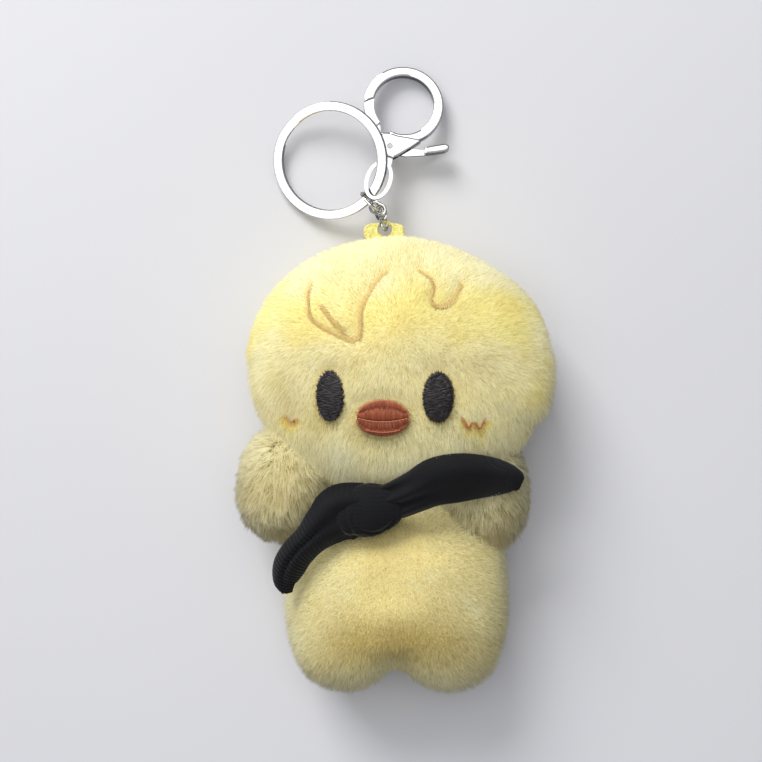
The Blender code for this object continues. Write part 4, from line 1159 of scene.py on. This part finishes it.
# ---------------------------------------------------------------- woven tab
def webbing_material(name):
    m = Mat(name, Roughness=0.62, Sheen_Weight=0.4, Sheen_Roughness=0.35)
    v = m.coords()
    a = m.noise(1500.0, 3.0, 0.6, vec=v)
    c = m.ramp(a, [(0.3, (0.60, 0.52, 0.12)), (0.5, (0.86, 0.80, 0.26)), (0.75, (1.0, 0.95, 0.50))])
    m.colour(c)
    m.bump(m.noise(4200.0, 2.0, 0.6, vec=v), 0.4, 0.00015)
    return m.m


def tab():
    """Plain weave, folded to a loop, with a whipped eyelet."""
    c0, tilt = np.array([0.8, 38.1, 8.6]), math.radians(-14)
    half, low, high = 5.0, -2.7, 1.9
    hole = (0.22, 0.28, 1.95)
    verts, faces = [], []

    def at(x, y, z):
        yy = c0[1] + y * math.cos(tilt) - z * math.sin(tilt)
        zz = c0[2] + y * math.sin(tilt) + z * math.cos(tilt)
        return (c0[0] + x, yy, zz)

    def inside(x, y):
        ry = (y - (low + high) / 2) / ((high - low) / 2)
        rx = x / half
        return abs(rx) ** 3.6 + abs(ry) ** 3.4 < 1 and (x - hole[0]) ** 2 + (y - hole[1]) ** 2 > hole[2] ** 2

    def tube(points, r):
        pts = np.array(points)
        t = unit(np.gradient(pts, axis=0))
        side = unit(np.cross(t, [0, 0.03, 1.0]))
        up = np.cross(side, t)
        base = len(verts)
        for i in range(len(pts)):
            k = 0.55 if i in (0, len(pts) - 1) else 1.0
            for j in range(6):
                w = 2 * math.pi * j / 6
                p = pts[i] + (side[i] * math.cos(w) * 1.25 + up[i] * math.sin(w)) * r * k
                verts.append(at(*p))
        for i in range(len(pts) - 1):
            for j in range(6):
                k = (j + 1) % 6
                faces.append((base + i * 6 + j, base + i * 6 + k, base + (i + 1) * 6 + k, base + (i + 1) * 6 + j))
        faces.append(tuple(base + j for j in reversed(range(6))))
        faces.append(tuple(base + (len(pts) - 1) * 6 + j for j in range(6)))

    pitch, r = 0.42, 0.19
    nx = int(2 * half / pitch)
    ny = int((high - low) / pitch)
    for layer in (0.26, -0.26):
        for iy in range(ny + 1):
            y = low + (iy + 0.5) * (high - low) / (ny + 1)
            run = []
            for k in range(nx * 4 + 1):
                x = -half + 2 * half * k / (nx * 4)
                z = layer + 0.12 * math.cos(math.pi * (k / 4.0) + math.pi * iy)
                if inside(x, y):
                    run.append((x, y, z))
                elif len(run) > 3:
                    tube(run, r)
                    run = []
                else:
                    run = []
            if len(run) > 3:
                tube(run, r)
        for ix in range(nx + 1):
            x = -half + (ix + 0.5) * 2 * half / (nx + 1)
            run = []
            for k in range(ny * 4 + 1):
                y = low + (high - low) * k / (ny * 4)
                z = layer - 0.12 * math.cos(math.pi * (k / 4.0) + math.pi * ix)
                if inside(x, y):
                    run.append((x, y, z))
                elif len(run) > 3:
                    tube(run, r)
                    run = []
                else:
                    run = []
            if len(run) > 3:
                tube(run, r)
    # whipping round the eyelet and along the rim
    for k in range(34):
        w = 2 * math.pi * k / 34
        c, s = math.cos(w), math.sin(w)
        arc = [(hole[0] + c * q, hole[1] + s * q, z) for q, z in
               ((2.32, 0.26), (2.22, 0.42), (2.04, 0.46), (1.90, 0.30), (1.85, 0.0),
                (1.90, -0.30), (2.04, -0.46), (2.22, -0.42), (2.32, -0.26))]
        tube(arc, 0.13)
    for k in range(90):
        w = 2 * math.pi * k / 90
        c, s = math.cos(w), math.sin(w)
        rx = half * math.copysign(abs(c) ** 0.56, c)
        ry = (low + high) / 2 + (high - low) / 2 * math.copysign(abs(s) ** 0.59, s)
        d = np.array([c, s * 1.2])
        d = d / np.linalg.norm(d)
        arc = [(rx - d[0] * q, ry - d[1] * q, z) for q, z in
               ((0.55, 0.42), (0.25, 0.50), (0.0, 0.30), (-0.04, 0.0), (0.0, -0.30), (0.25, -0.50), (0.55, -0.42))]
        tube(arc, 0.15)
    o = mesh_object("loop_tab_woven", np.array(verts), faces, webbing_material("yellow_webbing"),
                    "plush")
    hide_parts("loop_tab")


tab()


# ---------------------------------------------------------------- metal
def metal_material(name, base, rough, scratch=1.0):
    m = Mat(name, Metallic=1.0)
    v = m.coords()
    cloud = m.noise(230.0, 4.0, 0.6, vec=v)
    c = m.ramp(cloud, [(0.3, tuple(0.92 * b for b in base)), (0.7, base)])
    nz = m.node("SeparateXYZ")
    m.link(m.node("TexCoord").outputs["Normal"], nz.inputs[0])
    # Base colour darkened on the steep side walls: a painted dark reflection.
    wall = m.ramp(m.math("ABSOLUTE", nz.outputs["Z"]), [(0.25, (0.10, 0.10, 0.105)), (0.70, (0.60, 0.60, 0.61)),
                                                        (0.85, (1, 1, 1))])
    m.colour(m.mix(1.0, c, wall, "MULTIPLY"))
    fine = m.node("TexNoise")
    fine.inputs["Scale"].default_value = 900.0
    fine.inputs["Detail"].default_value = 5.0
    fine.inputs["Roughness"].default_value = 0.7
    m.link(m.coords((1.0, 14.0, 1.0)), fine.inputs["Vector"])
    m.rough(m.ramp(fine.outputs["Fac"], [(0.35, (rough * 0.6,) * 3), (0.55, (rough,) * 3),
                                         (0.75, (rough * 2.1,) * 3)]))
    m.bump(fine.outputs["Fac"], 0.06 * scratch, 0.00008)
    return m.m


CHROME = metal_material("bright_chrome", (0.96, 0.96, 0.96), 0.055)
STEEL = metal_material("spring_wire_steel", (0.62, 0.61, 0.60), 0.22, 1.5)
for node in ("split_ring", "clasp_body", "clasp_gate_lever", "jump_ring", "chain_link_upper",
             "chain_link_lower", "chain_link_free"):
    NODES[node].material_slots[0].material = CHROME
for node in ("clasp_pivot_pin", "clasp_spring"):
    NODES[node].material_slots[0].material = STEEL
